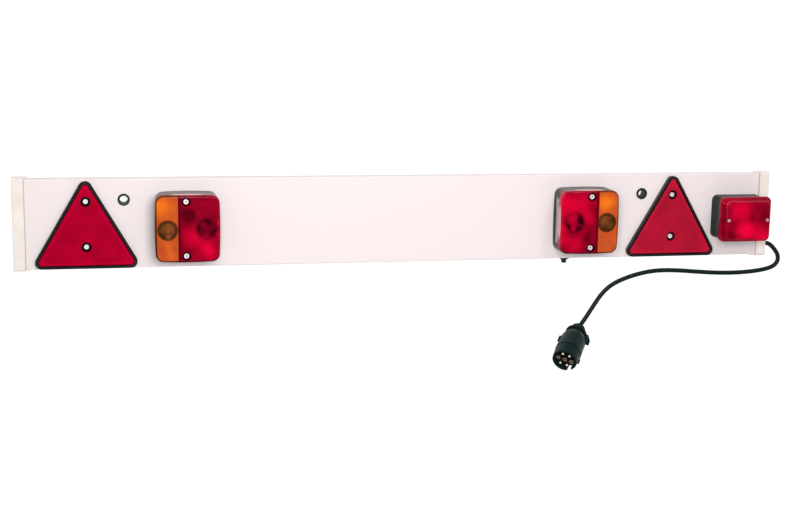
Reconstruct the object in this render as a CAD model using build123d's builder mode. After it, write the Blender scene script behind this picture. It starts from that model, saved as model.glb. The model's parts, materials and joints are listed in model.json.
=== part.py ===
from build123d import *
from math import cos, pi, radians, sin, sqrt, tan
import os

os.makedirs("parts", exist_ok=True)

# Trailer lighting board: a white plastic channel with push-on end caps. It carries two combination rear
# lamps, a fog lamp, two reflex triangles, two grommets and the wiring that ends in a seven-pin plug.
# Millimetres. X runs along the board, Y up its face and Z out of its face. The board lies on its back,
# and Z = 0 is the surface under its end caps.

# Board extrusion
board_length = 1219.0
board_height = 139.0
board_depth = 18.0
board_wall = 2.5
board_lip = 12.0
board_edge_radius = 2.5

# End caps
cap_wall = 2.0
cap_end_wall = 3.0
cap_skirt = 14.0
cap_tab = 6.0
cap_tab_inset = 3.0
cap_edge_radius = 2.0
cap_clearance = 0.2

# Where things sit, measured in from the board's own ends and up from its middle line
triangle_left_inset = 104.5
triangle_right_inset = 171.2
triangle_centre_y = -20.0
grommet_left_inset = 161.1
grommet_right_inset = 223.1
grommet_y = 36.5
lamp_left_inset = 254.9
lamp_right_inset = 326.8
lamp_y = -2.9
fog_inset = 56.3
fog_y = -2.4
stow_clip_inset = 350.6

# Reflex triangles
triangle_side = 165.6
triangle_radius = 10.0
triangle_height = 9.0
triangle_floor = 2.5
triangle_rim = 4.6
reflector_thickness = 5.6
reflector_clearance = 0.2
reflector_edge = 0.8
triangle_screw_pitch = 69.6
triangle_screw_y = 20.0
screw_window = 15.5

# Grommets
grommet_bore = 12.0
grommet_hole = 15.0
grommet_flange = 18.4
grommet_lip = 2.2
grommet_round = 0.9

# Rear lamps: w is the height above the board's face
gasket_thickness = 1.0
gasket_inset = 2.0
lamp_foot_tuck = 3.0
lamp_foot_flare = 1.1
lamp_width = 98.0
lamp_height = 103.4
lamp_bow = 1.5
lamp_corner = 12.0
lamp_base_height = 30.0
lamp_floor = 2.5
lamp_side_wall = 3.6
lamp_divider = 2.0
lamp_divider_drop = 3.0
lamp_colour_split = 14.5
lamp_lens_depth = 16.0
lens_wall = 2.2
lens_front = 2.5
lens_edge_radius = 4.0
lens_screw_x = 2.4
lens_screw_inset = 10.2
lens_boss = 15.0
lens_well = 12.0
lens_well_depth = 3.6
lamp_post = 9.0
optic_x = 29.8
optic_y = -1.0
optic_diameter = 31.0
optic_thickness = 1.8
lamp_bolt_pitch = 48.0
lamp_entry_y = 6.0
lamp_entry_x = (8.0, -2.0, -13.0)
lamp_entry_hole = 8.4
tray_clearance = 0.25
tray_wall = 0.8
tray_drop = 1.0
window_height = 74.0
window_sill = 9.0
window_thickness = 2.4

# Bulbs and their holders
holder_diameter = 20.0
holder_bore = 15.6
holder_height = 14.0
holder_floor = 3.0
bulb_cap = 15.2
bulb_cap_length = 12.5
bulb_globe = 22.0
bulb_neck = 12.0
bulb_length = 35.0

# Fog lamp
fog_foot_width = 84.0
fog_foot_height = 71.5
fog_waist = 2.4
fog_rim_width = 85.0
fog_rim_height = 72.0
fog_corner = 9.0
fog_base_height = 36.5
fog_side_wall = 4.0
fog_lens_width = 89.0
fog_lens_height = 74.0
fog_flange = 6.0
fog_face_width = 78.5
fog_face_height = 64.0
fog_face_depth = 10.8
fog_face_corner = 7.0
fog_face_round = 2.5
fog_screw_pitch = 68.0
fog_post = 8.0
fog_well = 7.0
fog_well_depth = 1.6
fog_bolt_pitch = 42.0
fog_entry_y = 18.0
fog_entry_hole = 6.4

# Fasteners
thread_clearance = 0.1
shank_clearance = 0.2
triangle_thread = 4.0
triangle_head = 8.0
triangle_head_height = 2.6
triangle_nut_flats = 7.0
triangle_nut_height = 3.2
lens_thread = 3.6
lens_head = 8.4
lens_head_height = 2.6
lens_screw_grip = 14.0
fog_head = 5.6
fog_head_height = 2.2
bolt_thread = 5.0
bolt_head = 9.5
bolt_head_height = 3.5
bolt_nut_flats = 8.0
bolt_nut_height = 4.0
thread_end = 1.2
drive_width = 1.2
drive_depth = 1.2

# Harness behind the board
main_cable = 7.5
link_cable = 6.0
fog_cable = 5.5
harness_inset = 13.0
harness_depth = 6.0
entry_depth = 11.0
entry_reach = 6.0
clip_length = 10.0
clip_wall = 3.0
clip_clearance = 0.15
exit_lead = 20.0
exit_sweep = 50.0
lamp_sweep = 50.0
lamp_bend = 20.0
fog_sweep = 70.0
bend_share = 0.7
main_clip_start = 75.0
main_clip_pitch = 80.0
link_clip_start = 75.0
link_clip_pitch = 130.0
fog_clip_start = 110.0
fog_clip_pitch = 90.0

# Cable exit through the right end cap
exit_inset = 17.5
exit_z = 10.0
exit_neck = 12.0
exit_flange = 15.0
exit_flange_outer = 2.5
exit_flange_inner = 2.0
exit_clearance = 0.1

# Stowing clip under the bottom edge
clip_stem = 5.0
clip_barb = 7.0
clip_span = 18.5
clip_wing = 1.6
clip_width = 6.0
clip_head_width = 7.0
clip_reach = 8.5

# Plug, along its own axis from the cable end of the gland nut
plug_heading = (-0.788, -0.6157)
plug_offset = (-324.2, -138.8)
plug_tilt = radians(50)
gland_radius = 11.5
gland_front_radius = 12.4
gland_round = 2.5
gland_length = 12.0
gland_socket = 6.0
gland_ribs = 12
gland_rib = 1.2
collar_start = 16.5
collar_length = 3.5
collar_radius = 18.2
collar_root = 15.0
shoulder = 37.0
shoulder_radius = 21.0
shell_radius = 22.0
groove_start = 70.0
groove_width = 2.4
groove_depth = 1.3
plug_length = 91.0
mouth_radius = 20.4
socket_radius = 17.2
socket_depth = 22.0
lug_start = 15.0
lug_length = 13.0
lug_width = 11.0
foot_lug_angle = 270.0
foot_lug_reach = 30.0
side_lug_angle = 40.0
side_lug_reach = 26.0
side_lug_rear = 19.5
guide_angle = 30.0
guide_width = 4.0
guide_height = 1.4
guide_end = 10.0
key_angle = 347.0
key_width = 8.0
key_length = 15.0
carrier_thickness = 7.0
carrier_clearance = 0.1
pin_circle = 11.3
pin_diameter = 5.0
pin_bore = 3.8
pin_sleeve = 6.4
pin_tip = 2.0
pin_round = 1.0
pin_clearance = 0.05
solid_pin_angles = (102, 162, 282, 342)
sleeve_pin_angles = (42, 222)

# Free cable: points of its route from the exit, chosen by eye, before the run into the gland
cable_lie = 0.1
cable_route = [
    (0.0, 0.0, 0.0),
    (8.8, 0.0, 0.0),
    (22.3, -11.8, -3.8),
    (30.6, -22.5, -6.0),
    (31.1, -33.0, -6.15),
    (24.8, -41.3, -6.15),
    (10.8, -46.4, -6.15),
    (-9.2, -49.6, -6.15),
    (-35.2, -51.6, -6.15),
    (-70.2, -51.9, -6.15),
    (-110.2, -49.2, -6.15),
    (-155.2, -45.0, -6.15),
    (-190.2, -44.5, -6.15),
    (-220.2, -49.2, -6.15),
    (-249.2, -58.0, -6.15),
    (-270.7, -68.6, -6.15),
    (-286.2, -83.6, -6.15),
    (-297.4, -100.6, -6.15),
    (-305.7, -113.8, -6.15),
    (-314.7, -127.6, -6.15),
]

# Places worked out from the sizes above
board_end = board_length / 2
board_back = cap_wall + cap_clearance
board_face = board_back + board_depth
web_back = board_face - board_wall
cap_end = board_end + cap_clearance + cap_end_wall
triangle_places = {
    "left": (-board_end + triangle_left_inset, triangle_centre_y),
    "right": (board_end - triangle_right_inset, triangle_centre_y),
}
grommet_places = {
    "left": (-board_end + grommet_left_inset, grommet_y),
    "right": (board_end - grommet_right_inset, grommet_y),
}
# Each rear lamp has its amber side outwards, so amber lies at negative X on the left lamp
lamp_places = {
    "left": (-board_end + lamp_left_inset, lamp_y),
    "right": (board_end - lamp_right_inset, lamp_y),
}
amber_sides = {"left": -1, "right": 1}
fog_place = (board_end - fog_inset, fog_y)
lamp_base_top = gasket_thickness + lamp_base_height
lamp_inner_floor = gasket_thickness + lamp_floor
lamp_front = lamp_base_top + lamp_lens_depth
lamp_foot_width = lamp_width - lamp_foot_tuck
lamp_foot_height = lamp_height + lamp_foot_flare
pocket_width = lamp_foot_width - 2 * lamp_side_wall
pocket_height = lamp_height - 2 * lamp_side_wall
fog_base_top = gasket_thickness + fog_base_height
fog_pocket_width = fog_foot_width - 2 * (fog_waist + fog_side_wall) / 2 - fog_side_wall
fog_pocket_height = fog_rim_height - 2 * fog_side_wall
fog_flange_top = fog_base_top + fog_flange
fog_front = fog_flange_top + fog_face_depth
fog_lens_depth = fog_flange + fog_face_depth
screw_pilot = lens_thread + 2 * thread_clearance
screw_hole = lens_thread + 2 * shank_clearance
bolt_hole = bolt_thread + 2 * shank_clearance
holder_window = holder_diameter + 2 * tray_clearance
triangle_screws_y = [triangle_screw_y + side * triangle_screw_pitch / 2 for side in (-1, 1)]
lens_screws_y = [side * (lamp_height / 2 - lens_screw_inset) for side in (-1, 1)]
lamp_bolts_y = [side * lamp_bolt_pitch / 2 for side in (-1, 1)]
fog_bolts_x = [side * fog_bolt_pitch / 2 for side in (-1, 1)]
fog_screws_x = [side * fog_screw_pitch / 2 for side in (-1, 1)]
optics_x = [side * optic_x for side in (-1, 1)]
harness_z = web_back - harness_depth
entry_z = web_back - entry_depth
harness_y = board_height / 2 - board_wall - harness_inset
exit_y = exit_inset - board_height / 2
exit_point = Vector(cap_end + exit_flange_outer, exit_y, exit_z)

# The plug rests on its cable and on its lower lug, which tips its mouth up
plug_axis = Vector(
    plug_heading[0] * cos(plug_tilt),
    plug_heading[1] * cos(plug_tilt),
    sin(plug_tilt),
).normalized()
plug_origin = Vector(
    exit_point.X + plug_offset[0],
    exit_point.Y + plug_offset[1],
    foot_lug_reach * cos(plug_tilt) - lug_start * sin(plug_tilt) + cable_lie,
)
plug_across = Vector(-plug_heading[1], plug_heading[0], 0).normalized()


def save(builder, name):
    """Label a finished piece and write it to its own file."""
    builder.part.label = name
    export_step(builder.part, f"parts/{name}.step")


def face_plane(place, height):
    """A plane facing out of the board at a place on it, at a height above its face."""
    return Plane(origin=(place[0], place[1], board_face + height))


def upright_plane(origin):
    """A plane that stands along the board and faces down it, with its own y out of the board."""
    return Plane(origin=origin, x_dir=(1, 0, 0), z_dir=(0, -1, 0))


def plug_plane(distance):
    """A plane across the plug at a distance from the cable end of its gland nut, facing its mouth."""
    origin = plug_origin + plug_axis * distance
    return Plane(origin=origin, x_dir=plug_across, z_dir=plug_axis)


def rounded_triangle(inset):
    """The triangle's outline drawn in the current sketch, moved in from its edge by an inset."""
    radius = triangle_side / sqrt(3) - 2 * inset
    RegularPolygon(radius=radius, side_count=3, rotation=90)
    fillet(vertices(), triangle_radius - inset)


def bowed_rectangle(width, height, corner):
    """A rectangle with bulging sides and rounded corners, drawn in the current sketch."""
    x = width / 2 - lamp_bow
    y = height / 2 - lamp_bow
    with BuildLine(Plane.XY) as outline:
        ThreePointArc((-x, -y), (0, -height / 2), (x, -y))
        ThreePointArc((x, -y), (width / 2, 0), (x, y))
        ThreePointArc((x, y), (0, height / 2), (-x, y))
        ThreePointArc((-x, y), (-width / 2, 0), (-x, -y))
    make_face(outline.edges())
    fillet(vertices(), corner)


def drill(place, points, diameter, height, depth):
    """Holes in the current part, down from a height above the board's face."""
    for x, y in points:
        with BuildSketch(face_plane((place[0] + x, place[1] + y), height)) as hole:
            Circle(diameter / 2)
        extrude(hole.sketch, amount=-depth, mode=Mode.SUBTRACT)


def stand(place, points, diameter, height, length):
    """Round posts in the current part, standing up from a height above the board's face."""
    for x, y in points:
        with BuildSketch(face_plane((place[0] + x, place[1] + y), height)) as foot:
            Circle(diameter / 2)
        extrude(foot.sketch, amount=length)


def headed_screw(place, seat, head, head_height, thread, length):
    """A round-headed screw with a cross drive in the current part, its head on a seat height."""
    top = seat + head_height
    with BuildSketch(face_plane(place, seat)) as head_foot:
        Circle(head / 2)
    extrude(head_foot.sketch, amount=head_height, taper=12)
    for size in ((head * 0.55, drive_width), (drive_width, head * 0.55)):
        with BuildSketch(face_plane(place, top)) as slot:
            Rectangle(*size)
        extrude(slot.sketch, amount=-drive_depth, mode=Mode.SUBTRACT)
    with BuildSketch(face_plane(place, seat)) as shank:
        Circle(thread / 2)
    extrude(shank.sketch, amount=-length)


def hexagon_nut(place, flats, height, thread):
    """A nut against the back of the board's web in the current part."""
    with BuildSketch(Plane(origin=(place[0], place[1], web_back))) as nut:
        RegularPolygon(radius=flats / 2, side_count=6, major_radius=False)
        Circle(thread / 2 + thread_clearance, mode=Mode.SUBTRACT)
    extrude(nut.sketch, amount=-height)


def turn_radii(points):
    """The radius at each inner point of a route, as large as its two runs allow."""
    radii = []
    for before, here, after in zip(points, points[1:], points[2:]):
        run_in = Vector(here) - Vector(before)
        run_out = Vector(after) - Vector(here)
        half_turn = radians(run_in.get_angle(run_out)) / 2
        radii.append(0.45 * min(run_in.length, run_out.length) / tan(half_turn))
    return radii


def cable_tube(name, points, diameter):
    """A round cable along straight runs joined by tangent arcs."""
    with BuildPart() as tube:
        with BuildLine() as path:
            FilletPolyline(*points, radius=turn_radii(points))
        with BuildSketch(Plane(origin=path.line @ 0, z_dir=path.line % 0)):
            Circle(diameter / 2)
        sweep()
    save(tube, name)
    return tube.part.volume, path.wire().length


# Board: channel with lips, drilled for everything that it carries
with BuildPart() as board:
    with BuildSketch(Plane.YZ.offset(-board_end)):
        with Locations((0, board_back + board_depth / 2)):
            RectangleRounded(board_height, board_depth, board_edge_radius)
            Rectangle(board_height - 2 * board_wall, board_depth - 2 * board_wall, mode=Mode.SUBTRACT)
        with Locations((0, board_back + board_wall / 2)):
            Rectangle(board_height - 2 * board_lip, board_wall, mode=Mode.SUBTRACT)
    extrude(amount=board_length)
    for place in grommet_places.values():
        drill(place, [(0, 0)], grommet_hole, 0, 2 * board_wall)
    for place in triangle_places.values():
        holes = [(0, y) for y in triangle_screws_y]
        drill(place, holes, triangle_thread + 2 * shank_clearance, 0, 2 * board_wall)
    for side, place in lamp_places.items():
        holes = [(0, y) for y in lamp_bolts_y]
        drill(place, holes, bolt_hole, 0, 2 * board_wall)
        entries = lamp_entry_x if side == "right" else lamp_entry_x[1:2]
        holes = [(amber_sides[side] * x, lamp_entry_y) for x in entries]
        drill(place, holes, lamp_entry_hole, 0, 2 * board_wall)
    holes = [(x, 0) for x in fog_bolts_x]
    drill(fog_place, holes, bolt_hole, 0, 2 * board_wall)
    drill(fog_place, [(0, fog_entry_y)], fog_entry_hole, 0, 2 * board_wall)
    with BuildSketch(Plane.XZ.offset(board_height / 2)):
        with Locations((board_end - stow_clip_inset, board_back + board_depth / 2)):
            Circle(clip_stem / 2 + thread_clearance)
    extrude(amount=-2 * board_wall, mode=Mode.SUBTRACT)
save(board, "board")


def end_cap(name, side):
    """A push-on cap over one end of the board, with a tongue on its top and bottom walls."""
    cavity_height = board_height + 2 * cap_clearance
    cavity_depth = board_depth + 2 * cap_clearance
    middle_z = board_back + board_depth / 2
    skirt_start = Plane(
        origin=(side * (board_end - cap_skirt), 0, middle_z), x_dir=(0, 1, 0), z_dir=(side, 0, 0)
    )
    with BuildPart() as cap:
        with BuildSketch(skirt_start):
            RectangleRounded(
                cavity_height + 2 * cap_wall, cavity_depth + 2 * cap_wall, board_edge_radius + cap_wall
            )
        extrude(amount=cap_end - board_end + cap_skirt)
        fillet(faces().sort_by(Axis.X)[0 if side < 0 else -1].edges(), cap_edge_radius)
        with BuildSketch(skirt_start):
            RectangleRounded(cavity_height, cavity_depth, board_edge_radius + cap_clearance)
        extrude(amount=cap_skirt + cap_clearance, mode=Mode.SUBTRACT)
        for edge in (-1, 1):
            with BuildSketch(skirt_start):
                with Locations((edge * (cavity_height + cap_wall) / 2, 0)):
                    Rectangle(cap_wall, cavity_depth - 2 * cap_tab_inset)
            extrude(amount=-cap_tab)
        if side > 0:
            with BuildSketch(Plane(origin=(cap_end, exit_y, exit_z), x_dir=(0, 1, 0), z_dir=(1, 0, 0))):
                Circle(exit_neck / 2 + exit_clearance)
            extrude(amount=-2 * cap_end_wall, mode=Mode.SUBTRACT)
    save(cap, name)


end_cap("end_cap_left", -1)
end_cap("end_cap_right", 1)


# Reflex triangles: a black tray with a rim, and the red reflector that lies in it
for side, place in triangle_places.items():
    holes = [(0, y) for y in triangle_screws_y]
    with BuildPart() as tray:
        with BuildSketch(face_plane(place, 0)):
            rounded_triangle(0)
        extrude(amount=triangle_height)
        fillet(faces().sort_by(Axis.Z)[-1].edges(), reflector_edge)
        with BuildSketch(face_plane(place, triangle_floor)):
            rounded_triangle(triangle_rim)
        extrude(amount=triangle_height, mode=Mode.SUBTRACT)
        drill(place, holes, triangle_thread + 2 * shank_clearance, triangle_floor, 2 * triangle_floor)
    save(tray, f"triangle_tray_{side}")

    with BuildPart() as reflector:
        with BuildSketch(face_plane(place, triangle_floor)):
            rounded_triangle(triangle_rim + reflector_clearance)
        extrude(amount=reflector_thickness)
        chamfer(faces().sort_by(Axis.Z)[-1].edges(), reflector_edge)
        drill(place, holes, screw_window, triangle_height, triangle_height)
    save(reflector, f"triangle_reflector_{side}")

triangle_fixings = [(x, y + dy) for x, y in triangle_places.values() for dy in triangle_screws_y]
triangle_shank = triangle_floor + board_wall + triangle_nut_height + thread_end
with BuildPart() as triangle_screws:
    for place in triangle_fixings:
        headed_screw(
            place, triangle_floor, triangle_head, triangle_head_height, triangle_thread, triangle_shank
        )
save(triangle_screws, "triangle_screws")

with BuildPart() as triangle_nuts:
    for place in triangle_fixings:
        hexagon_nut(place, triangle_nut_flats, triangle_nut_height, triangle_thread)
save(triangle_nuts, "triangle_nuts")


# Grommets: a rubber ring that grips both sides of the web
for side, place in grommet_places.items():
    bore = grommet_bore / 2
    neck = grommet_hole / 2 - thread_clearance
    flange = grommet_flange / 2
    with BuildPart() as grommet:
        with BuildSketch(upright_plane((place[0], place[1], web_back))):
            with BuildLine():
                Polyline(
                    (bore, -grommet_lip),
                    (flange, -grommet_lip),
                    (flange, 0),
                    (neck, 0),
                    (neck, board_wall),
                    (flange, board_wall),
                    (flange, board_wall + grommet_lip),
                    (bore, board_wall + grommet_lip),
                    close=True,
                )
            make_face()
            outer = [v for v in vertices() if v.X > neck + 1]
            chamfer([v for v in outer if v.Y < -1 or v.Y > board_wall + 1], grommet_round)
        revolve(axis=Axis((place[0], place[1], 0), (0, 0, 1)))
    save(grommet, f"grommet_{side}")


def bulb_set(place, points, floor, holder_name, bulb_name):
    """Bulb holders on a lamp's floor and the bulbs in them, each group in one node."""
    with BuildPart() as holders:
        stand(place, points, holder_diameter, floor, holder_height)
        drill(place, points, holder_bore, floor + holder_height, holder_height - holder_floor)
    save(holders, holder_name)

    cap = bulb_cap / 2
    globe = bulb_globe / 2
    neck_top = bulb_length - globe - sqrt(globe**2 - bulb_neck**2 / 4)
    with BuildPart() as bulbs:
        for x, y in points:
            origin = (place[0] + x, place[1] + y, board_face + floor + holder_floor)
            with BuildSketch(upright_plane(origin)):
                with BuildLine():
                    Polyline(
                        (0, 0),
                        (cap, 0),
                        (cap, bulb_cap_length),
                        (bulb_neck / 2, bulb_cap_length),
                        (bulb_neck / 2, neck_top),
                    )
                    ThreePointArc((bulb_neck / 2, neck_top), (globe, bulb_length - globe), (0, bulb_length))
                    Line((0, bulb_length), (0, 0))
                make_face()
            revolve(axis=Axis(origin, (0, 0, 1)))
    save(bulbs, bulb_name)


# Rear lamps
lamp_bolt_shank = lamp_floor + gasket_thickness + board_wall + bolt_nut_height + thread_end
for side, place in lamp_places.items():
    amber = amber_sides[side]
    bolts = [(0, y) for y in lamp_bolts_y]
    entries = [(amber * x, lamp_entry_y) for x in lamp_entry_x]
    screws = [(amber * lens_screw_x, y) for y in lens_screws_y]
    optics = [(x, optic_y) for x in optics_x]
    split_x = place[0] + amber * lamp_colour_split
    window_x = place[0] - amber * lamp_foot_width / 2
    window_z = board_face + (window_sill + lamp_base_top) / 2

    with BuildPart() as gasket:
        with BuildSketch(face_plane(place, 0)):
            bowed_rectangle(
                lamp_foot_width - 2 * gasket_inset, lamp_foot_height - 2 * gasket_inset, lamp_corner
            )
        extrude(amount=gasket_thickness)
        drill(place, bolts, bolt_hole, gasket_thickness, 2 * gasket_thickness)
        drill(place, entries, lamp_entry_hole, gasket_thickness, 2 * gasket_thickness)
    save(gasket, f"lamp_gasket_{side}")

    with BuildPart() as base:
        with BuildSketch(face_plane(place, gasket_thickness)):
            bowed_rectangle(lamp_foot_width, lamp_foot_height, lamp_corner)
        with BuildSketch(face_plane(place, lamp_base_top)):
            bowed_rectangle(lamp_width, lamp_height, lamp_corner)
        loft(ruled=True)
        with BuildSketch(face_plane(place, lamp_inner_floor)):
            bowed_rectangle(pocket_width, pocket_height, lamp_corner - lamp_side_wall)
        extrude(amount=lamp_base_height, mode=Mode.SUBTRACT)
        with BuildSketch(face_plane((split_x, place[1]), lamp_inner_floor)):
            Rectangle(lamp_divider, pocket_height + lamp_side_wall)
        extrude(amount=lamp_base_top - lamp_inner_floor - lamp_divider_drop)
        stand(place, screws, lamp_post, lamp_inner_floor, lamp_base_top - lamp_inner_floor)
        drill(place, screws, screw_pilot, lamp_base_top, lens_screw_grip + thread_end)
        drill(place, bolts, bolt_hole, lamp_inner_floor, 2 * lamp_floor)
        drill(place, entries, lamp_entry_hole, lamp_inner_floor, 2 * lamp_floor)
        if side == "right":
            with BuildSketch(face_plane((window_x, place[1]), window_sill)):
                Rectangle(4 * lamp_side_wall, window_height)
            extrude(amount=lamp_base_height, mode=Mode.SUBTRACT)
    save(base, f"lamp_base_{side}")

    with BuildPart() as reflectors:
        with BuildSketch(face_plane(place, lamp_inner_floor)):
            bowed_rectangle(
                pocket_width - 2 * tray_clearance,
                pocket_height - 2 * tray_clearance,
                lamp_corner - lamp_side_wall - tray_clearance,
            )
        extrude(amount=lamp_base_top - lamp_inner_floor - tray_drop)
        with BuildSketch(face_plane(place, lamp_inner_floor + tray_wall)):
            bowed_rectangle(
                pocket_width - 2 * (tray_clearance + tray_wall),
                pocket_height - 2 * (tray_clearance + tray_wall),
                lamp_corner - lamp_side_wall - tray_clearance - tray_wall,
            )
        extrude(amount=lamp_base_height, mode=Mode.SUBTRACT)
        with BuildSketch(face_plane((split_x, place[1]), lamp_inner_floor)):
            Rectangle(lamp_divider + 2 * tray_clearance, lamp_height)
        extrude(amount=lamp_base_height, mode=Mode.SUBTRACT)
        height = lamp_inner_floor + tray_wall
        drill(place, screws, lamp_post + 2 * tray_clearance, lamp_base_top, 2 * lamp_base_height)
        drill(place, bolts, bolt_head + 4 * tray_clearance, height, 2 * tray_wall)
        drill(place, entries, lamp_entry_hole, height, 2 * tray_wall)
        drill(place, optics, holder_window, height, 2 * tray_wall)
        if side == "right":
            with BuildSketch(face_plane((window_x, place[1]), window_sill)):
                Rectangle(4 * lamp_side_wall, window_height)
            extrude(amount=lamp_base_height, mode=Mode.SUBTRACT)
    save(reflectors, f"lamp_reflector_{side}")

    bulb_set(place, optics, lamp_inner_floor, f"bulb_holders_{side}", f"bulbs_{side}")

    for colour, keep_side in (("amber", amber), ("red", -amber)):
        with BuildPart() as lens:
            with BuildSketch(face_plane(place, lamp_base_top)):
                bowed_rectangle(lamp_width, lamp_height, lamp_corner)
            extrude(amount=lamp_lens_depth)
            fillet(faces().sort_by(Axis.Z)[-1].edges(), lens_edge_radius)
            with BuildSketch(face_plane(place, lamp_base_top)):
                bowed_rectangle(
                    lamp_width - 2 * lens_wall, lamp_height - 2 * lens_wall, lamp_corner - lens_wall
                )
            extrude(amount=lamp_lens_depth - lens_front, mode=Mode.SUBTRACT)
            stand(place, screws, lens_boss, lamp_base_top, lamp_lens_depth - lens_front)
            stand(place, optics, optic_diameter, lamp_front - lens_front - optic_thickness, optic_thickness)
            drill(place, screws, lens_well, lamp_front, lens_well_depth)
            drill(place, screws, screw_hole, lamp_front, lamp_lens_depth + 1)
            split(bisect_by=Plane(origin=(split_x, 0, 0), z_dir=(keep_side, 0, 0)))
        save(lens, f"lamp_lens_{colour}_{side}")

    if side == "right":
        with BuildPart() as window:
            with BuildSketch(face_plane((window_x + amber * window_thickness, place[1]), window_sill)):
                Rectangle(window_thickness, window_height)
            extrude(amount=lamp_base_top - window_sill)
        save(window, "number_plate_window")

    with BuildPart() as lens_screws:
        for x, y in screws:
            headed_screw(
                (place[0] + x, place[1] + y),
                lamp_front - lens_well_depth,
                lens_head,
                lens_head_height,
                lens_thread,
                lamp_lens_depth - lens_well_depth + lens_screw_grip,
            )
    save(lens_screws, f"lens_screws_{side}")


# Fog lamp
fog_bolts = [(x, 0) for x in fog_bolts_x]
fog_screws = [(x, 0) for x in fog_screws_x]
with BuildPart() as fog_gasket:
    with BuildSketch(face_plane(fog_place, 0)):
        RectangleRounded(
            fog_foot_width - 2 * gasket_inset, fog_foot_height - 2 * gasket_inset, fog_corner - gasket_inset
        )
    extrude(amount=gasket_thickness)
    drill(fog_place, fog_bolts, bolt_hole, gasket_thickness, 2 * gasket_thickness)
    drill(fog_place, [(0, fog_entry_y)], fog_entry_hole, gasket_thickness, 2 * gasket_thickness)
save(fog_gasket, "fog_gasket")

with BuildPart() as fog_base:
    with BuildSketch(face_plane(fog_place, gasket_thickness)):
        RectangleRounded(fog_foot_width, fog_foot_height, fog_corner)
    with BuildSketch(face_plane(fog_place, gasket_thickness + fog_base_height / 2)):
        RectangleRounded(fog_foot_width - fog_waist, fog_foot_height - fog_waist, fog_corner)
    with BuildSketch(face_plane(fog_place, fog_base_top)):
        RectangleRounded(fog_rim_width, fog_rim_height, fog_corner)
    loft(ruled=True)
    with BuildSketch(face_plane(fog_place, lamp_inner_floor)):
        RectangleRounded(fog_pocket_width, fog_pocket_height, fog_corner - fog_side_wall)
    extrude(amount=fog_base_height, mode=Mode.SUBTRACT)
    stand(fog_place, fog_screws, fog_post, lamp_inner_floor, fog_base_top - lamp_inner_floor)
    drill(fog_place, fog_screws, screw_pilot, fog_base_top, lens_screw_grip + thread_end)
    drill(fog_place, fog_bolts, bolt_hole, lamp_inner_floor, 2 * lamp_floor)
    drill(fog_place, [(0, fog_entry_y)], fog_entry_hole, lamp_inner_floor, 2 * lamp_floor)
save(fog_base, "fog_base")

with BuildPart() as fog_reflector:
    with BuildSketch(face_plane(fog_place, lamp_inner_floor)):
        RectangleRounded(
            fog_pocket_width - 2 * tray_clearance,
            fog_pocket_height - 2 * tray_clearance,
            fog_corner - fog_side_wall - tray_clearance,
        )
    extrude(amount=fog_base_top - lamp_inner_floor - tray_drop)
    with BuildSketch(face_plane(fog_place, lamp_inner_floor + tray_wall)):
        RectangleRounded(
            fog_pocket_width - 2 * (tray_clearance + tray_wall),
            fog_pocket_height - 2 * (tray_clearance + tray_wall),
            fog_corner - fog_side_wall - tray_clearance - tray_wall,
        )
    extrude(amount=fog_base_height, mode=Mode.SUBTRACT)
    drill(fog_place, fog_screws, fog_post + 2 * tray_clearance, fog_base_top, 2 * fog_base_height)
    drill(fog_place, fog_bolts, bolt_head + 4 * tray_clearance, lamp_inner_floor + tray_wall, 2 * tray_wall)
    drill(fog_place, [(0, fog_entry_y)], fog_entry_hole, lamp_inner_floor + tray_wall, 2 * tray_wall)
    drill(fog_place, [(0, 0)], holder_window, lamp_inner_floor + tray_wall, 2 * tray_wall)
save(fog_reflector, "fog_reflector")

bulb_set(fog_place, [(0, 0)], lamp_inner_floor, "fog_bulb_holder", "fog_bulb")

with BuildPart() as fog_lens:
    with BuildSketch(face_plane(fog_place, fog_base_top)):
        RectangleRounded(fog_lens_width, fog_lens_height, fog_corner)
    extrude(amount=fog_flange)
    fillet(faces().sort_by(Axis.Z)[-1].edges(), fog_face_round / 2)
    with BuildSketch(face_plane(fog_place, fog_base_top)):
        RectangleRounded(fog_face_width, fog_face_height, fog_face_corner)
    extrude(amount=fog_flange + fog_face_depth)
    fillet(faces().sort_by(Axis.Z)[-1].edges(), fog_face_round)
    with BuildSketch(face_plane(fog_place, fog_base_top)):
        RectangleRounded(
            fog_face_width - 2 * lens_front, fog_face_height - 2 * lens_front, fog_face_corner - lens_front
        )
    extrude(amount=fog_lens_depth - lens_front, mode=Mode.SUBTRACT)
    stand(fog_place, fog_screws, fog_well + lens_wall, fog_base_top, fog_lens_depth - lens_front)
    drill(fog_place, fog_screws, fog_well, fog_front, fog_well_depth)
    drill(fog_place, fog_screws, screw_hole, fog_front, fog_lens_depth + 1)
save(fog_lens, "fog_lens")

with BuildPart() as fog_lens_screws:
    for x, y in fog_screws:
        headed_screw(
            (fog_place[0] + x, fog_place[1] + y),
            fog_front - fog_well_depth,
            fog_head,
            fog_head_height,
            lens_thread,
            fog_lens_depth - fog_well_depth + lens_screw_grip,
        )
save(fog_lens_screws, "fog_lens_screws")


# Bolts and nuts that hold the lamps to the board
bolt_places = [(x, y + dy) for x, y in lamp_places.values() for dy in lamp_bolts_y]
bolt_places += [(fog_place[0] + x, fog_place[1]) for x in fog_bolts_x]
with BuildPart() as lamp_bolts:
    for place in bolt_places:
        headed_screw(place, lamp_inner_floor, bolt_head, bolt_head_height, bolt_thread, lamp_bolt_shank)
save(lamp_bolts, "lamp_bolts")

with BuildPart() as lamp_nuts:
    for place in bolt_places:
        hexagon_nut(place, bolt_nut_flats, bolt_nut_height, bolt_thread)
save(lamp_nuts, "lamp_nuts")


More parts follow.
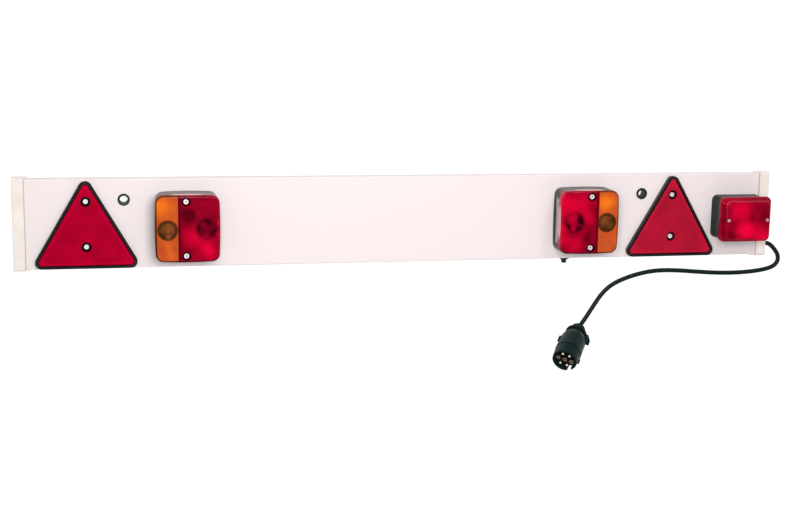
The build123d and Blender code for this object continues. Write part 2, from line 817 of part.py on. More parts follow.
# Exit grommet in the right end cap
with BuildPart() as exit_grommet:
    with BuildSketch(Plane(origin=(0, exit_y, exit_z))):
        bore = main_cable / 2 + exit_clearance
        inner = cap_end - cap_end_wall
        with BuildLine():
            Polyline(
                (inner - exit_flange_inner, bore),
                (inner - exit_flange_inner, exit_flange / 2),
                (inner, exit_flange / 2),
                (inner, exit_neck / 2),
                (cap_end, exit_neck / 2),
                (cap_end, exit_flange / 2),
                (cap_end + exit_flange_outer, exit_flange / 2 - exit_flange_outer / 2),
                (cap_end + exit_flange_outer, bore),
                close=True,
            )
        make_face()
    revolve(axis=Axis((0, exit_y, exit_z), (1, 0, 0)))
save(exit_grommet, "exit_grommet")


# Harness: three cables behind the web, each rising through it into the lamps
def lamp_entry(side, number):
    """The middle of one of a rear lamp's cable entries."""
    place = lamp_places[side]
    return place[0] + amber_sides[side] * lamp_entry_x[number], place[1] + lamp_entry_y


def rise(entry, toward):
    """Route points from below the web up through a cable entry, coming from one side in Y."""
    x, y = entry
    top = board_face + lamp_inner_floor + entry_reach
    return [(x, y + toward * entry_depth * 1.6, entry_z), (x, y, entry_z), (x, y, top)]


lamp_right_x = lamp_places["right"][0]
lamp_left_x = lamp_places["left"][0]
fog_entry = (fog_place[0], fog_place[1] + fog_entry_y)
half_way_z = (harness_z + entry_z) / 2
bend_y = harness_y * bend_share
main_route = [
    exit_point,
    (board_end - exit_lead, exit_y, exit_z),
    (board_end - exit_sweep, -harness_y, harness_z),
    (lamp_right_x + lamp_sweep, -harness_y, harness_z),
    (lamp_right_x + lamp_bend, -bend_y, half_way_z),
] + rise(lamp_entry("right", 0), -1)
link_route = rise(lamp_entry("right", 1), -1)[::-1] + [
    (lamp_right_x - lamp_bend, -bend_y, half_way_z),
    (lamp_right_x - lamp_sweep, -harness_y, harness_z),
    (lamp_left_x + lamp_sweep, -harness_y, harness_z),
    (lamp_left_x + lamp_bend, -bend_y, half_way_z),
] + rise(lamp_entry("left", 1), -1)
fog_route = rise(lamp_entry("right", 2), 1)[::-1] + [
    (lamp_right_x, harness_y - lamp_entry_hole, half_way_z),
    (lamp_right_x + lamp_sweep, harness_y, harness_z),
    (fog_entry[0] - fog_sweep, harness_y, harness_z),
    (fog_entry[0] - lamp_bend, harness_y - lamp_entry_hole, half_way_z),
] + rise(fog_entry, 1)
cable_tube("harness_main", main_route, main_cable)
cable_tube("harness_link", link_route, link_cable)
cable_tube("harness_fog", fog_route, fog_cable)

main_clips = [board_end - main_clip_start - main_clip_pitch * n for n in range(3)]
link_clips = [lamp_left_x + link_clip_start + link_clip_pitch * n for n in range(4)]
fog_clips = [fog_entry[0] - fog_clip_start - fog_clip_pitch * n for n in range(2)]
with BuildPart() as cable_clips:
    for places, y, diameter in (
        (main_clips, -harness_y, main_cable),
        (link_clips, -harness_y, link_cable),
        (fog_clips, harness_y, fog_cable),
    ):
        for x in places:
            radius = diameter / 2 + clip_clearance
            with BuildSketch(Plane.YZ.offset(x - clip_length / 2)):
                with Locations((y, harness_z)):
                    Circle(radius + clip_wall)
                with Locations((y, (harness_z + web_back) / 2)):
                    Rectangle(2 * (radius + clip_wall), web_back - harness_z)
                with Locations((y, web_back + clip_wall)):
                    Rectangle(4 * clip_length, 2 * clip_wall, mode=Mode.SUBTRACT)
                with Locations((y, harness_z)):
                    Circle(radius, mode=Mode.SUBTRACT)
            extrude(amount=clip_length)
save(cable_clips, "cable_clips")


# Stowing clip: a barbed stem through the bottom flange, two sprung wings and a head
with BuildPart() as stow_clip:
    edge = -board_height / 2
    middle = (board_end - stow_clip_inset, edge, board_back + board_depth / 2)
    with BuildSketch(upright_plane(middle)):
        Circle(clip_stem / 2)
    extrude(amount=-board_wall - clip_wing)
    with BuildSketch(upright_plane(middle).offset(-board_wall)):
        Circle(clip_barb / 2)
    extrude(amount=-clip_wing, taper=25)
    half = clip_span / 2
    inner = half - 1.4 * clip_wing
    dip = clip_reach / 2
    with BuildSketch(Plane(origin=middle).offset(-clip_width / 2)):
        with BuildLine():
            ThreePointArc((-half, 0), (-half / 2, -0.7 * dip), (0, -dip))
            ThreePointArc((0, -dip), (half / 2, -0.7 * dip), (half, 0))
            Line((half, 0), (inner, 0))
            ThreePointArc((inner, 0), (inner / 2, -0.7 * (dip - clip_wing)), (0, clip_wing - dip))
            ThreePointArc((0, clip_wing - dip), (-inner / 2, -0.7 * (dip - clip_wing)), (-inner, 0))
            Line((-inner, 0), (-half, 0))
        make_face()
        with Locations((0, -clip_reach / 2)):
            RectangleRounded(clip_head_width, clip_reach, clip_wing)
    extrude(amount=clip_width)
save(stow_clip, "stow_clip")


# Free cable, which turns up from the surface under it into the gland
gland_lead = (plug_origin.Z - main_cable / 2 - cable_lie) / sin(plug_tilt)
last_points = [plug_origin - plug_axis * gland_lead, plug_origin + plug_axis * gland_socket]
route = [exit_point + Vector(step) for step in cable_route] + last_points
volume, length = cable_tube("cable", route, main_cable)
section = pi * main_cable**2 / 4
print("cable radii", [round(radius, 1) for radius in turn_radii(route)])
print("plug", plug_origin, plug_axis, "gland lead", round(gland_lead, 2), "last points", last_points)
print(f"cable length {length:.1f}, volume {volume:.0f}, section times length {section * length:.0f}")


# Plug
def plug_profile(points):
    """A turned solid of the current part from points given as radius and distance along the plug."""
    lengthwise = Plane(origin=plug_origin, x_dir=plug_across, z_dir=plug_across.cross(plug_axis))
    with BuildSketch(lengthwise) as half_section:
        with BuildLine():
            Polyline(*points, close=True)
        make_face()
    revolve(half_section.sketch, axis=Axis(plug_origin, plug_axis))


with BuildPart() as gland_nut:
    plug_profile(
        [
            (0, 0),
            (gland_radius - gland_round, 0),
            (gland_radius, gland_round),
            (gland_front_radius, gland_length),
            (0, gland_length),
        ]
    )
    for n in range(gland_ribs):
        with BuildSketch(plug_plane(gland_round)):
            with PolarLocations(gland_radius, 1, start_angle=n * 360 / gland_ribs):
                Rectangle(gland_rib, gland_rib)
        extrude(amount=gland_length - gland_round)
    with BuildSketch(plug_plane(0)):
        Circle(main_cable / 2 + exit_clearance)
    extrude(amount=gland_socket, mode=Mode.SUBTRACT)
save(gland_nut, "gland_nut")

groove_end = groove_start + groove_width
with BuildPart() as plug_shell:
    plug_profile(
        [
            (0, gland_length),
            (gland_front_radius, gland_length),
            (collar_root, collar_start),
            (collar_radius, collar_start),
            (collar_radius, collar_start + collar_length),
            (collar_root, collar_start + collar_length),
            (shoulder_radius, shoulder),
            (shell_radius, groove_start),
            (shell_radius - groove_depth, groove_start),
            (shell_radius - groove_depth, groove_end),
            (shell_radius - groove_depth / 3, groove_end),
            (mouth_radius, plug_length),
            (0, plug_length),
        ]
    )
    lug_root = gland_front_radius / 2
    lug_end = lug_start + lug_length
    for angle, rear, front in (
        (foot_lug_angle, foot_lug_reach, foot_lug_reach),
        (side_lug_angle, side_lug_rear, side_lug_reach),
    ):
        outward = plug_across.rotate(Axis((0, 0, 0), plug_axis), angle)
        with BuildSketch(Plane(origin=plug_origin, x_dir=plug_axis, z_dir=plug_axis.cross(outward))):
            with BuildLine():
                Polyline(
                    (lug_start, lug_root), (lug_start, rear), (lug_end, front), (lug_end, lug_root), close=True
                )
            make_face()
        extrude(amount=lug_width / 2, both=True)
    with BuildSketch(plug_plane(groove_end)):
        with PolarLocations(shell_radius, 1, start_angle=guide_angle):
            Rectangle(2 * guide_height, guide_width)
    extrude(amount=plug_length - guide_end - groove_end)
    with BuildSketch(plug_plane(plug_length)):
        Circle(socket_radius)
    extrude(amount=-socket_depth, mode=Mode.SUBTRACT)
    with BuildSketch(plug_plane(plug_length)):
        with PolarLocations(shell_radius, 1, start_angle=key_angle):
            Rectangle(2 * (shell_radius - socket_radius) + 2, key_width)
    extrude(amount=-key_length, mode=Mode.SUBTRACT)
save(plug_shell, "plug_shell")

socket_floor = plug_length - socket_depth
pin_length = socket_depth - pin_tip
with BuildPart() as pin_carrier:
    with BuildSketch(plug_plane(socket_floor)):
        Circle(socket_radius - carrier_clearance)
        for angle in solid_pin_angles:
            with PolarLocations(pin_circle, 1, start_angle=angle):
                Circle(pin_diameter / 2 + pin_clearance, mode=Mode.SUBTRACT)
        for angle in sleeve_pin_angles:
            with PolarLocations(pin_circle, 1, start_angle=angle):
                Circle(pin_sleeve / 2 + pin_clearance, mode=Mode.SUBTRACT)
        Circle(pin_sleeve / 2 + pin_clearance, mode=Mode.SUBTRACT)
    extrude(amount=carrier_thickness)
save(pin_carrier, "pin_carrier")

with BuildPart() as solid_pins:
    for angle in solid_pin_angles:
        with BuildSketch(plug_plane(socket_floor)):
            with PolarLocations(pin_circle, 1, start_angle=angle):
                Circle(pin_diameter / 2)
        extrude(amount=pin_length)
    tips = faces().filter_by(GeomType.PLANE).sort_by(Axis(plug_origin, plug_axis))[-len(solid_pin_angles):]
    fillet(tips.edges(), pin_round)
save(solid_pins, "solid_pins")

with BuildPart() as hollow_pins:
    with BuildSketch(plug_plane(socket_floor)):
        Circle(pin_sleeve / 2)
        for angle in sleeve_pin_angles:
            with PolarLocations(pin_circle, 1, start_angle=angle):
                Circle(pin_sleeve / 2)
    extrude(amount=pin_length)
    with BuildSketch(plug_plane(plug_length - pin_tip)):
        Circle(pin_bore / 2)
        for angle in sleeve_pin_angles:
            with PolarLocations(pin_circle, 1, start_angle=angle):
                Circle(pin_bore / 2)
    extrude(amount=-pin_length + carrier_thickness, mode=Mode.SUBTRACT)
save(hollow_pins, "hollow_pins")
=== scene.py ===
import json
import math

import bmesh
import bpy
from bpy.props import FloatProperty, FloatVectorProperty, PointerProperty
from mathutils import Matrix, Vector


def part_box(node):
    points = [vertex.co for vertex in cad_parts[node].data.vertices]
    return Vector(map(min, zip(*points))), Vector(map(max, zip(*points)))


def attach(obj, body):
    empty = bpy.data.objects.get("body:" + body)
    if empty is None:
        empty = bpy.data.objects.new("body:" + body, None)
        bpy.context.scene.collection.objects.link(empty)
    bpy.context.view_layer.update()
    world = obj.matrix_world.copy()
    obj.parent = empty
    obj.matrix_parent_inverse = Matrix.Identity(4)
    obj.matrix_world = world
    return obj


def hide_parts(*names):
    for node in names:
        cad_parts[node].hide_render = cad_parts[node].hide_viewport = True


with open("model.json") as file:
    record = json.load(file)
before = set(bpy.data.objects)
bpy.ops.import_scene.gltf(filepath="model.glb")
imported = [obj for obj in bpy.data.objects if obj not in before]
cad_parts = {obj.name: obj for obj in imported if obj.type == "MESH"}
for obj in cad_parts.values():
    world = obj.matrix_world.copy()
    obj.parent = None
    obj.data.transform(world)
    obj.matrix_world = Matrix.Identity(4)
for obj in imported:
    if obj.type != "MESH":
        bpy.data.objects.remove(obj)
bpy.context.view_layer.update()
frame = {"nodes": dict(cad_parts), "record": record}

bl_info = {
    "name": "Trailer lighting board",
    "version": (1, 0, 0),
    "blender": (4, 5, 0),
    "location": "3D View > Sidebar > Lighting board",
    "description": "Finishes, cable and stage for a trailer lighting board",
    "category": "Object",
}

NODES = frame["nodes"]
SIDES = ("left", "right")
FRONT = (0, 0, 1)
UP_IN_USE = (0, 1, 0)
LEFT = (-1, 0, 0)

# Lengths are in metres, but the lens tables and the cable's route are in millimetres.
MM_PER_M = 1000


def centre(node):
    """The middle of a solid's box."""
    low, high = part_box(node)
    return (Vector(low) + Vector(high)) / 2


def plan(*nodes):
    """The middle and the half size of solids taken together, seen from above."""
    boxes = [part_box(node) for node in nodes]
    low = [min(box[0][i] for box in boxes) for i in range(2)]
    high = [max(box[1][i] for box in boxes) for i in range(2)]
    return [(a + b) / 2 for a, b in zip(low, high)], [(b - a) / 2 for a, b in zip(low, high)]


def ends(node):
    """The middles of two like solids, one at each end of a node's box."""
    low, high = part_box(node)
    middle = centre(node)
    across = 1 if high[0] - low[0] > high[1] - low[1] else 0
    inset = Vector((0, 0))
    inset[1 - across] = (high[1 - across] - low[1 - across]) / 2 - (high[across] - low[across]) / 2
    return [middle.xy - inset, middle.xy + inset]


def toned(colour, share):
    """A colour made darker or brighter."""
    return [min(1.0, c * share) for c in colour]


def colour_setting(name, description, default):
    """A colour that a user can change."""
    return FloatVectorProperty(
        name=name, description=description, subtype="COLOR", size=3, min=0.0, max=1.0, default=default
    )


class BoardColours(bpy.types.PropertyGroup):
    """Colours of the board's finishes."""

    board: colour_setting("Board", "Satin off-white of the extrusion", (0.885, 0.786, 0.786))
    cap: colour_setting("End caps", "Creamy white of the moulded end caps", (0.92, 0.835, 0.78))
    black: colour_setting("Black mouldings", "Lamp bases and plug", (0.005, 0.0175, 0.017))
    tray: colour_setting("Triangle trays", "Black trays of the reflex triangles", (0.0025, 0.0028, 0.003))
    rubber: colour_setting("Rubber", "Cable sheath, grommets and seals", (0.005, 0.0145, 0.0125))
    reflector: colour_setting("Reflex red", "Prismatic reflectors", (0.445, 0.0003, 0.0245))
    red: colour_setting("Lens red", "Red acrylic where light comes through", (0.8, 0.001, 0.038))
    amber: colour_setting("Lens amber", "Amber acrylic where light comes through", (0.97, 0.2, 0.012))
    steel: colour_setting("Screws", "Zinc plated steel", (0.93, 0.91, 0.9))
    pin: colour_setting("Solid contacts", "Bright pin ends", (0.95, 0.92, 0.82))
    brass: colour_setting("Hollow contacts", "Tarnished brass sleeves", (0.34, 0.25, 0.18))


class CableLook(bpy.types.PropertyGroup):
    """Sizes of the free cable."""

    diameter: FloatProperty(
        name="Diameter", description="Outside of the sheath", unit="LENGTH", default=0.0075, min=0.001
    )
    length: FloatProperty(
        name="Length", description="From the end cap to the plug", unit="LENGTH", default=0.4571, min=0.01
    )


class StageLook(bpy.types.PropertyGroup):
    """Camera and light."""

    lens: FloatProperty(
        name="Lens", description="Focal length on a 36 mm wide sensor", default=63.007, min=1.0
    )
    key: FloatProperty(name="Key light", description="Power above the top edge", unit="POWER", default=17.0)
    side: FloatProperty(name="Side light", description="Power above the right end", unit="POWER", default=0.65)
    fill: FloatProperty(name="Fill light", description="Power below the bottom edge", unit="POWER", default=5.0)
    room: FloatProperty(name="Room", description="Strength of the even light", default=0.38)


# Tone painted on walls that face up in use, for how light from above falls on them: painted light on black plastic,
# painted shade on pale plastic.
PAINTED_TOP_TONE = (0.3, 0.28, 0.27)
PAINTED_TOP_SLOPE = (0.5, 0.95)
NOISE_SPAN = (0.3, 0.7)
COARSE_DETAIL = 2.0
FINE_DETAIL = 3.0
TRIANGLE_SIDES = ((0.0, -1.0), (0.866, 0.5), (-0.866, 0.5))
TRIANGLE_EASE = 0.024
ANY_HEIGHT = 9.0

# The mix node has sockets for several kinds of value. These are the ones for colours.
MIX_FIRST = 6
MIX_SECOND = 7
MIX_RESULT = 2


class Finish:
    """A procedural material being put together."""

    def __init__(self, name, **sockets):
        self.material = bpy.data.materials.new(name)
        self.material.use_nodes = True
        self.tree = self.material.node_tree
        self.shader = self.tree.nodes["Principled BSDF"]
        self.place = self.node("ShaderNodeTexCoord").outputs["Object"]
        self.set(**sockets)

    def put(self, socket, value):
        """Link a socket to another, or set its own value."""
        if isinstance(value, bpy.types.NodeSocket):
            self.tree.links.new(value, socket)
        elif hasattr(value, "__len__") and len(value) == 3 and len(socket.default_value) == 4:
            socket.default_value = (*value, 1.0)
        else:
            socket.default_value = value

    def set(self, **sockets):
        """Set sockets of the main shader, named with underscores for spaces."""
        for name, value in sockets.items():
            self.put(self.shader.inputs[name.replace("_", " ")], value)

    def node(self, kind, sockets=(), **settings):
        """A node with its settings and sockets, which are given by name or number."""
        made = self.tree.nodes.new(kind)
        for name, value in settings.items():
            setattr(made, name, value)
        for name, value in dict(sockets).items():
            self.put(made.inputs[name], value)
        return made

    def maths(self, operation, *values, clamp=False):
        """The result of a sum on numbers or sockets."""
        made = self.node("ShaderNodeMath", enumerate(values), operation=operation, use_clamp=clamp)
        return made.outputs[0]

    def vector(self, operation, *values):
        """The two results of a sum on vectors: a vector and a number."""
        return self.node("ShaderNodeVectorMath", enumerate(values), operation=operation).outputs

    def mix(self, factor, first, second):
        """A colour between two others."""
        sockets = {0: factor, MIX_FIRST: first, MIX_SECOND: second}
        return self.node("ShaderNodeMix", sockets, data_type="RGBA").outputs[MIX_RESULT]

    def gap(self, first, second):
        """How far apart two values are."""
        return self.maths("ABSOLUTE", self.maths("SUBTRACT", first, second))

    def stretched(self, scale):
        """Object coordinates scaled along each axis."""
        return self.node("ShaderNodeMapping", {"Vector": self.place, "Scale": scale}).outputs[0]

    def noise(self, scale, detail=COARSE_DETAIL, place=None):
        """Cloudy noise between 0 and 1."""
        sockets = {"Vector": place or self.place, "Scale": scale, "Detail": detail}
        return self.node("ShaderNodeTexNoise", sockets).outputs[0]

    def range(self, value, low, high, start=0.0, end=1.0, ease="LINEAR"):
        """A value mapped from one span to another and kept inside it."""
        sockets = {"Value": value, "From Min": start, "From Max": end, "To Min": low, "To Max": high}
        return self.node("ShaderNodeMapRange", sockets, interpolation_type=ease).outputs[0]

    def bump(self, height, strength, distance):
        """A normal made rough by a height."""
        sockets = {"Height": height, "Strength": strength, "Distance": distance}
        return self.node("ShaderNodeBump", sockets).outputs[0]

    def apart(self):
        """The object's own X, Y and Z."""
        return self.node("ShaderNodeSeparateXYZ", {0: self.place}).outputs

    def facing(self, axis):
        """How far the surface faces along an axis, from -1 to 1."""
        normal = self.node("ShaderNodeTexCoord").outputs["Normal"]
        return self.vector("DOT_PRODUCT", normal, axis)[1]

    def with_painted_top(self, base, share):
        """A colour with a painted tone on the walls that face up in use, for how light from above falls on them."""
        return self.mix(self.range(self.facing(UP_IN_USE), 0.0, share, *PAINTED_TOP_SLOPE), base, PAINTED_TOP_TONE)

    def along(self, axis):
        """How far a point lies along an axis through the origin."""
        return self.vector("DOT_PRODUCT", self.place, axis)[1]

    def triangle(self, middle):
        """How far a point lies from a triangle's middle towards its nearest side, eased at the corners."""
        reach = None
        for x, y in TRIANGLE_SIDES:
            past = self.maths("SUBTRACT", self.along((x, y, 0)), x * middle[0] + y * middle[1])
            reach = past if reach is None else self.maths("SMOOTH_MAX", reach, past, TRIANGLE_EASE)
        return reach

    def distance(self, spot):
        """How far a point lies from an upright line through a spot."""
        flat = self.vector("MULTIPLY", self.place, (1, 1, 0))[0]
        return self.vector("DISTANCE", flat, (spot[0], spot[1], 0))[1]

    def nearest(self, spots):
        """How far a point lies from the nearest of several upright lines."""
        reach = self.distance(spots[0])
        for spot in spots[1:]:
            reach = self.maths("MINIMUM", reach, self.distance(spot))
        return reach

    def rounded(self, middle, half, radius):
        """How far a point lies outside an upright block with rounded corners."""
        offset = self.vector("ABSOLUTE", self.vector("SUBTRACT", self.place, (*middle, 0))[0])[0]
        past = self.vector("SUBTRACT", offset, (half[0] - radius, half[1] - radius, ANY_HEIGHT))[0]
        corner = self.vector("MAXIMUM", past, (0, 0, 0))[0]
        return self.maths("SUBTRACT", self.vector("LENGTH", corner)[1], radius)

    def patches(self, value, middle, spots):
        """A value raised or lowered in soft round patches, each an offset, a radius and a gain."""
        for x, y, radius, gain in spots:
            reach = self.distance((middle[0] + x / MM_PER_M, middle[1] + y / MM_PER_M))
            patch = self.range(reach, gain, 0.0, 0.0, radius / MM_PER_M, ease="SMOOTHSTEP")
            value = self.maths("ADD", value, patch)
        return self.maths("ADD", value, 0.0, clamp=True)

    def saw(self, value, pitch):
        """Ridges of a pitch, between 0 and 1."""
        return self.maths("MULTIPLY", self.maths("PINGPONG", value, pitch / 2), 2 / pitch)


def dress(finish, *names):
    """Give solids a finish."""
    for name in names:
        piece = NODES[name]
        if not piece.material_slots:
            piece.data.materials.append(None)
        for slot in piece.material_slots:
            slot.material = finish.material


MOTTLE_TONES = (0.9, 1.06)
MOTTLE_SCALE = 38.0
MOTTLE_ROUGHNESS = 0.06
GRAIN_STRENGTH = 0.25


def moulded(name, colour, roughness, grain=900.0, depth=0.00012, gloss=0.12, painted_top=0.0):
    """Moulded plastic with a fine spark-eroded grain, faint mottling, and, where asked, a tone painted on walls that
    face up in use for how light from above falls on them.
    """
    finish = Finish(name, Specular_IOR_Level=gloss)
    clouds = finish.noise(MOTTLE_SCALE, FINE_DETAIL)
    dark, bright = (toned(colour, tone) for tone in MOTTLE_TONES)
    base = finish.mix(clouds, dark, bright)
    # Painted tone on the walls that face up, for the light from above.
    if painted_top:
        base = finish.with_painted_top(base, painted_top)
    finish.set(
        Base_Color=base,
        Roughness=finish.range(clouds, roughness - MOTTLE_ROUGHNESS, roughness + MOTTLE_ROUGHNESS, *NOISE_SPAN),
        Normal=finish.bump(finish.noise(grain), GRAIN_STRENGTH, depth),
    )
    return finish


TURNING_SCALE = 1400.0
TURNING_TONE = 0.85
TURNING_BUMP = (0.1, 0.00005)
PLATE_ROUGHNESS = (0.32, 0.48)
HEAD_RIM = (0.0034, 0.0044)
HEAD_RECESS = (0.0009, 0.0017)
HEAD_SHADE = 0.1
HEAD_RIM_SHARE = 0.75


def plated(name, colour, metallic, recesses=(), depth=1.0):
    """Plated metal with fine turning marks, with painted shade in the recess and around the rim of each head."""
    finish = Finish(name, Metallic=metallic)
    marks = finish.noise(TURNING_SCALE)
    base = finish.mix(marks, toned(colour, TURNING_TONE), colour)
    if recesses:
        shade = toned(colour, HEAD_SHADE)
        reach = finish.nearest(recesses)
        # Painted shade round the rim of each head and in its recess.
        base = finish.mix(finish.range(reach, 0.0, HEAD_RIM_SHARE, *HEAD_RIM), base, shade)
        base = finish.mix(finish.range(reach, depth, 0.0, *HEAD_RECESS), base, shade)
    finish.set(
        Base_Color=base,
        Roughness=finish.range(marks, *PLATE_ROUGHNESS),
        Normal=finish.bump(marks, *TURNING_BUMP),
    )
    return finish


SEAM_SHADE = 0.6
SEAM_WIDTH = 0.0014
SEAM_SOFT = 0.0003
CAP_TONGUE = 0.006
# Painted shade on the top walls of the board and the end caps.
PAINTED_TOP_SHADE = {"board": 0.24, "cap": 0.16}
STREAK_SCALE = (4.0, 420.0, 420.0)
STREAK_ROUGHNESS = (0.34, 0.46)
STREAK_BUMP = (0.06, 0.0001)
BOARD_TONES = (0.985, 1.01)
BOARD_CLOUD_SCALE = 9.0


class LIGHTBOARD_OT_extrusion(bpy.types.Operator):
    """Finish the extrusion and its end caps"""

    bl_idname = "lightboard.extrusion"
    bl_label = "Extrusion and end caps"

    def execute(self, context):
        colours = context.scene.board_colours
        board = Finish("Board satin white", Specular_IOR_Level=0.3)
        streaks = board.noise(1.0, FINE_DETAIL, board.stretched(STREAK_SCALE))
        clouds = board.noise(BOARD_CLOUD_SCALE)
        base = list(colours.board)
        dark, bright = (toned(base, tone) for tone in BOARD_TONES)
        face = board.mix(clouds, dark, bright)
        # A painted shadow line on the board just inside the edge of each end cap.
        reach = board.gap(board.apart()[0], centre("board").x)
        brink = (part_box("end_cap_right")[0][0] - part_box("end_cap_left")[1][0]) / 2 + CAP_TONGUE
        joint = board.range(reach, 0.0, 1.0, brink - SEAM_WIDTH - SEAM_SOFT, brink - SEAM_WIDTH)
        seamed = board.mix(joint, face, toned(base, SEAM_SHADE))
        # The board's top wall gets painted shade.
        board.set(
            Base_Color=board.with_painted_top(seamed, PAINTED_TOP_SHADE["board"]),
            Roughness=board.range(streaks, *STREAK_ROUGHNESS),
            Normal=board.bump(streaks, *STREAK_BUMP),
        )
        dress(board, "board")
        # The end caps' top walls get painted shade too.
        cream = moulded("End cap cream", list(colours.cap), roughness=0.46, painted_top=PAINTED_TOP_SHADE["cap"])
        dress(cream, "end_cap_left", "end_cap_right")
        return {"FINISHED"}


TRIANGLE_REACH = 0.0478
PRISM_PITCH = 0.0036
PRISM_WAYS = ((1.0, 0.0, 0.0), (-0.5, 0.866, 0.0), (-0.5, -0.866, 0.0))
PRISM_HEIGHTS = (0.6, 2.2)
PRISM_SHADES = (0.1, 0.65)
PRISM_BUMP = (0.35, 0.0006)
# A painted sheen: a paler tone added to the right reflector's colour.
REFLEX_PAINTED_SHEEN = {"left": 0.0, "right": 0.0085}
REFLEX_CLOUDS = (-0.2, 0.25)
REFLEX_CLOUD_SCALE = 30.0
REFLEX_TONES = (0.72, 1.24)
REFLEX_EDGE = (TRIANGLE_REACH - 0.011, TRIANGLE_REACH - 0.006)
REFLEX_EDGE_GAIN = 0.5
TRAY_LINE = TRIANGLE_REACH - 0.0023
TRAY_LINE_EDGE = (0.0002, 0.0007)
TRAY_LINE_TONE = 14.0
TRAY_OUTSIDE = (TRIANGLE_REACH - 0.0014, TRIANGLE_REACH - 0.0008)
TRAY_WALL = (0.085, 0.075, 0.075)
TRAY_WALL_SLOPE = (0.3, 0.7)


def reflex_finish(name, base, middle):
    """Red acrylic with prisms moulded in three directions, brighter towards the triangle's edge."""
    red = Finish(name, Roughness=0.3, Specular_IOR_Level=0.004)
    ridges = [red.saw(red.along(way), PRISM_PITCH) for way in PRISM_WAYS]
    prisms = red.maths("ADD", red.maths("ADD", ridges[0], ridges[1]), ridges[2])
    clouds = red.range(red.noise(REFLEX_CLOUD_SCALE), *REFLEX_CLOUDS, *NOISE_SPAN)
    shade = red.maths("ADD", red.range(prisms, *PRISM_SHADES, *PRISM_HEIGHTS), clouds)
    edge = red.range(red.triangle(middle), 0.0, REFLEX_EDGE_GAIN, *REFLEX_EDGE)
    dark, bright = (toned(base, tone) for tone in REFLEX_TONES)
    red.set(
        Base_Color=red.mix(red.maths("ADD", shade, edge), dark, bright),
        Normal=red.bump(prisms, *PRISM_BUMP),
    )
    return red


def tray_finish(name, black, middle):
    """Black plastic with a painted highlight line on the rim and painted light on the outer walls."""
    tray = moulded(name, black, roughness=0.42, gloss=0.04)
    reach = tray.triangle(middle)
    # A painted highlight line along the rim.
    line = tray.range(tray.gap(reach, TRAY_LINE), 1.0, 0.0, *TRAY_LINE_EDGE)
    rim = tray.mix(line, black, toned(black, TRAY_LINE_TONE))
    # Painted light on the outer walls.
    upright = tray.range(tray.facing(FRONT), 1.0, 0.0, *TRAY_WALL_SLOPE)
    outside = tray.range(reach, 0.0, 1.0, *TRAY_OUTSIDE)
    tray.set(Base_Color=tray.mix(tray.maths("MULTIPLY", upright, outside), rim, TRAY_WALL))
    return tray


class LIGHTBOARD_OT_triangles(bpy.types.Operator):
    """Finish the reflex triangles and their trays"""

    bl_idname = "lightboard.triangles"
    bl_label = "Reflex triangles"

    def execute(self, context):
        colours = context.scene.board_colours
        for side in SIDES:
            # The right reflector's colour gets the painted sheen.
            base = [c + REFLEX_PAINTED_SHEEN[side] for c in colours.reflector]
            low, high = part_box(f"triangle_tray_{side}")
            middle = ((low[0] + high[0]) / 2, low[1] + TRIANGLE_REACH)
            dress(reflex_finish(f"Prismatic red {side}", base, middle), f"triangle_reflector_{side}")
            dress(tray_finish(f"Tray black {side}", list(colours.tray), middle), f"triangle_tray_{side}")
        return {"FINISHED"}


# shares: dark tones as shares of the bright colour
# deep: colour in full shadow
# blur: softness of a disc's edge
# wall: colour painted on the side walls for how light falls on them, pale on the rear lamps and dark on the fog
# lamp; these walls are the upper one and, by the share called left, the left one
# outline: strength of the painted shade line on the rim at the foot and higher up, and the height where the second
# begins
RED_ACRYLIC = {
    "shares": (0.15, 0.5, 0.22), "deep": (0.045, 0.0003, 0.005), "blur": 0.0065,
    "wall": (0.8, 0.4, 0.43), "left": 1.0, "outline": (0.85, 0.0, 0.014),
}
AMBER_ACRYLIC = {
    "shares": (0.5, 0.3, 1.9), "deep": (0.055, 0.02, 0.004), "blur": 0.0016,
    "wall": (0.8, 0.55, 0.4), "left": 0.0, "outline": (1.0, 0.8, 0.1),
}
FOG_ACRYLIC = {**RED_ACRYLIC, "wall": (0.3, 0.012, 0.035), "outline": (0.0, 0.0, 0.05)}
LENS_CLOUDS = (0.15, 0.36)
LENS_CLOUD_SCALE = 70.0
LENS_BUMP = (0.2, 0.0003)
FLUTE_PITCH = 0.0032
FLUTE_SHADES = (-0.03, 0.03)
RING_PITCH = 0.0056
RING_SHADES = (0.25, 0.5)
DISC_EDGE = 0.0006
DISC_FALL = (0.6, 0.9)
DISC_FALL_SHADE = -0.4
DISC_DARK_SHARE = 0.6
WELL_EDGE = (0.006, 0.0082)
LENS_SEAM_EDGE = (0.0015, 0.0026)
LENS_SEAM_TONE = 1.25
LENS_CORNER = 0.014
LENS_FOOT = 0.003
LENS_SOLID = 0.88
RIM_FLAT = (-0.0055, -0.0042)
RIM_SHINE = (-0.0045, -0.002)
RIM_LINE = (-0.0036, -0.0024)
RIM_WALL = (-0.0005, -0.0002)
RIM_GLOSS = 0.45
WALL_SLOPE = (0.5, 0.9)
STEP_CORNER = 0.01
STEP_EDGE = (0.002, 0.0035)
STEP_GLOSS = 0.8
STEP_FADE = (-0.02, 0.03)
STEP_FADE_SHARES = (0.1, 1.0)


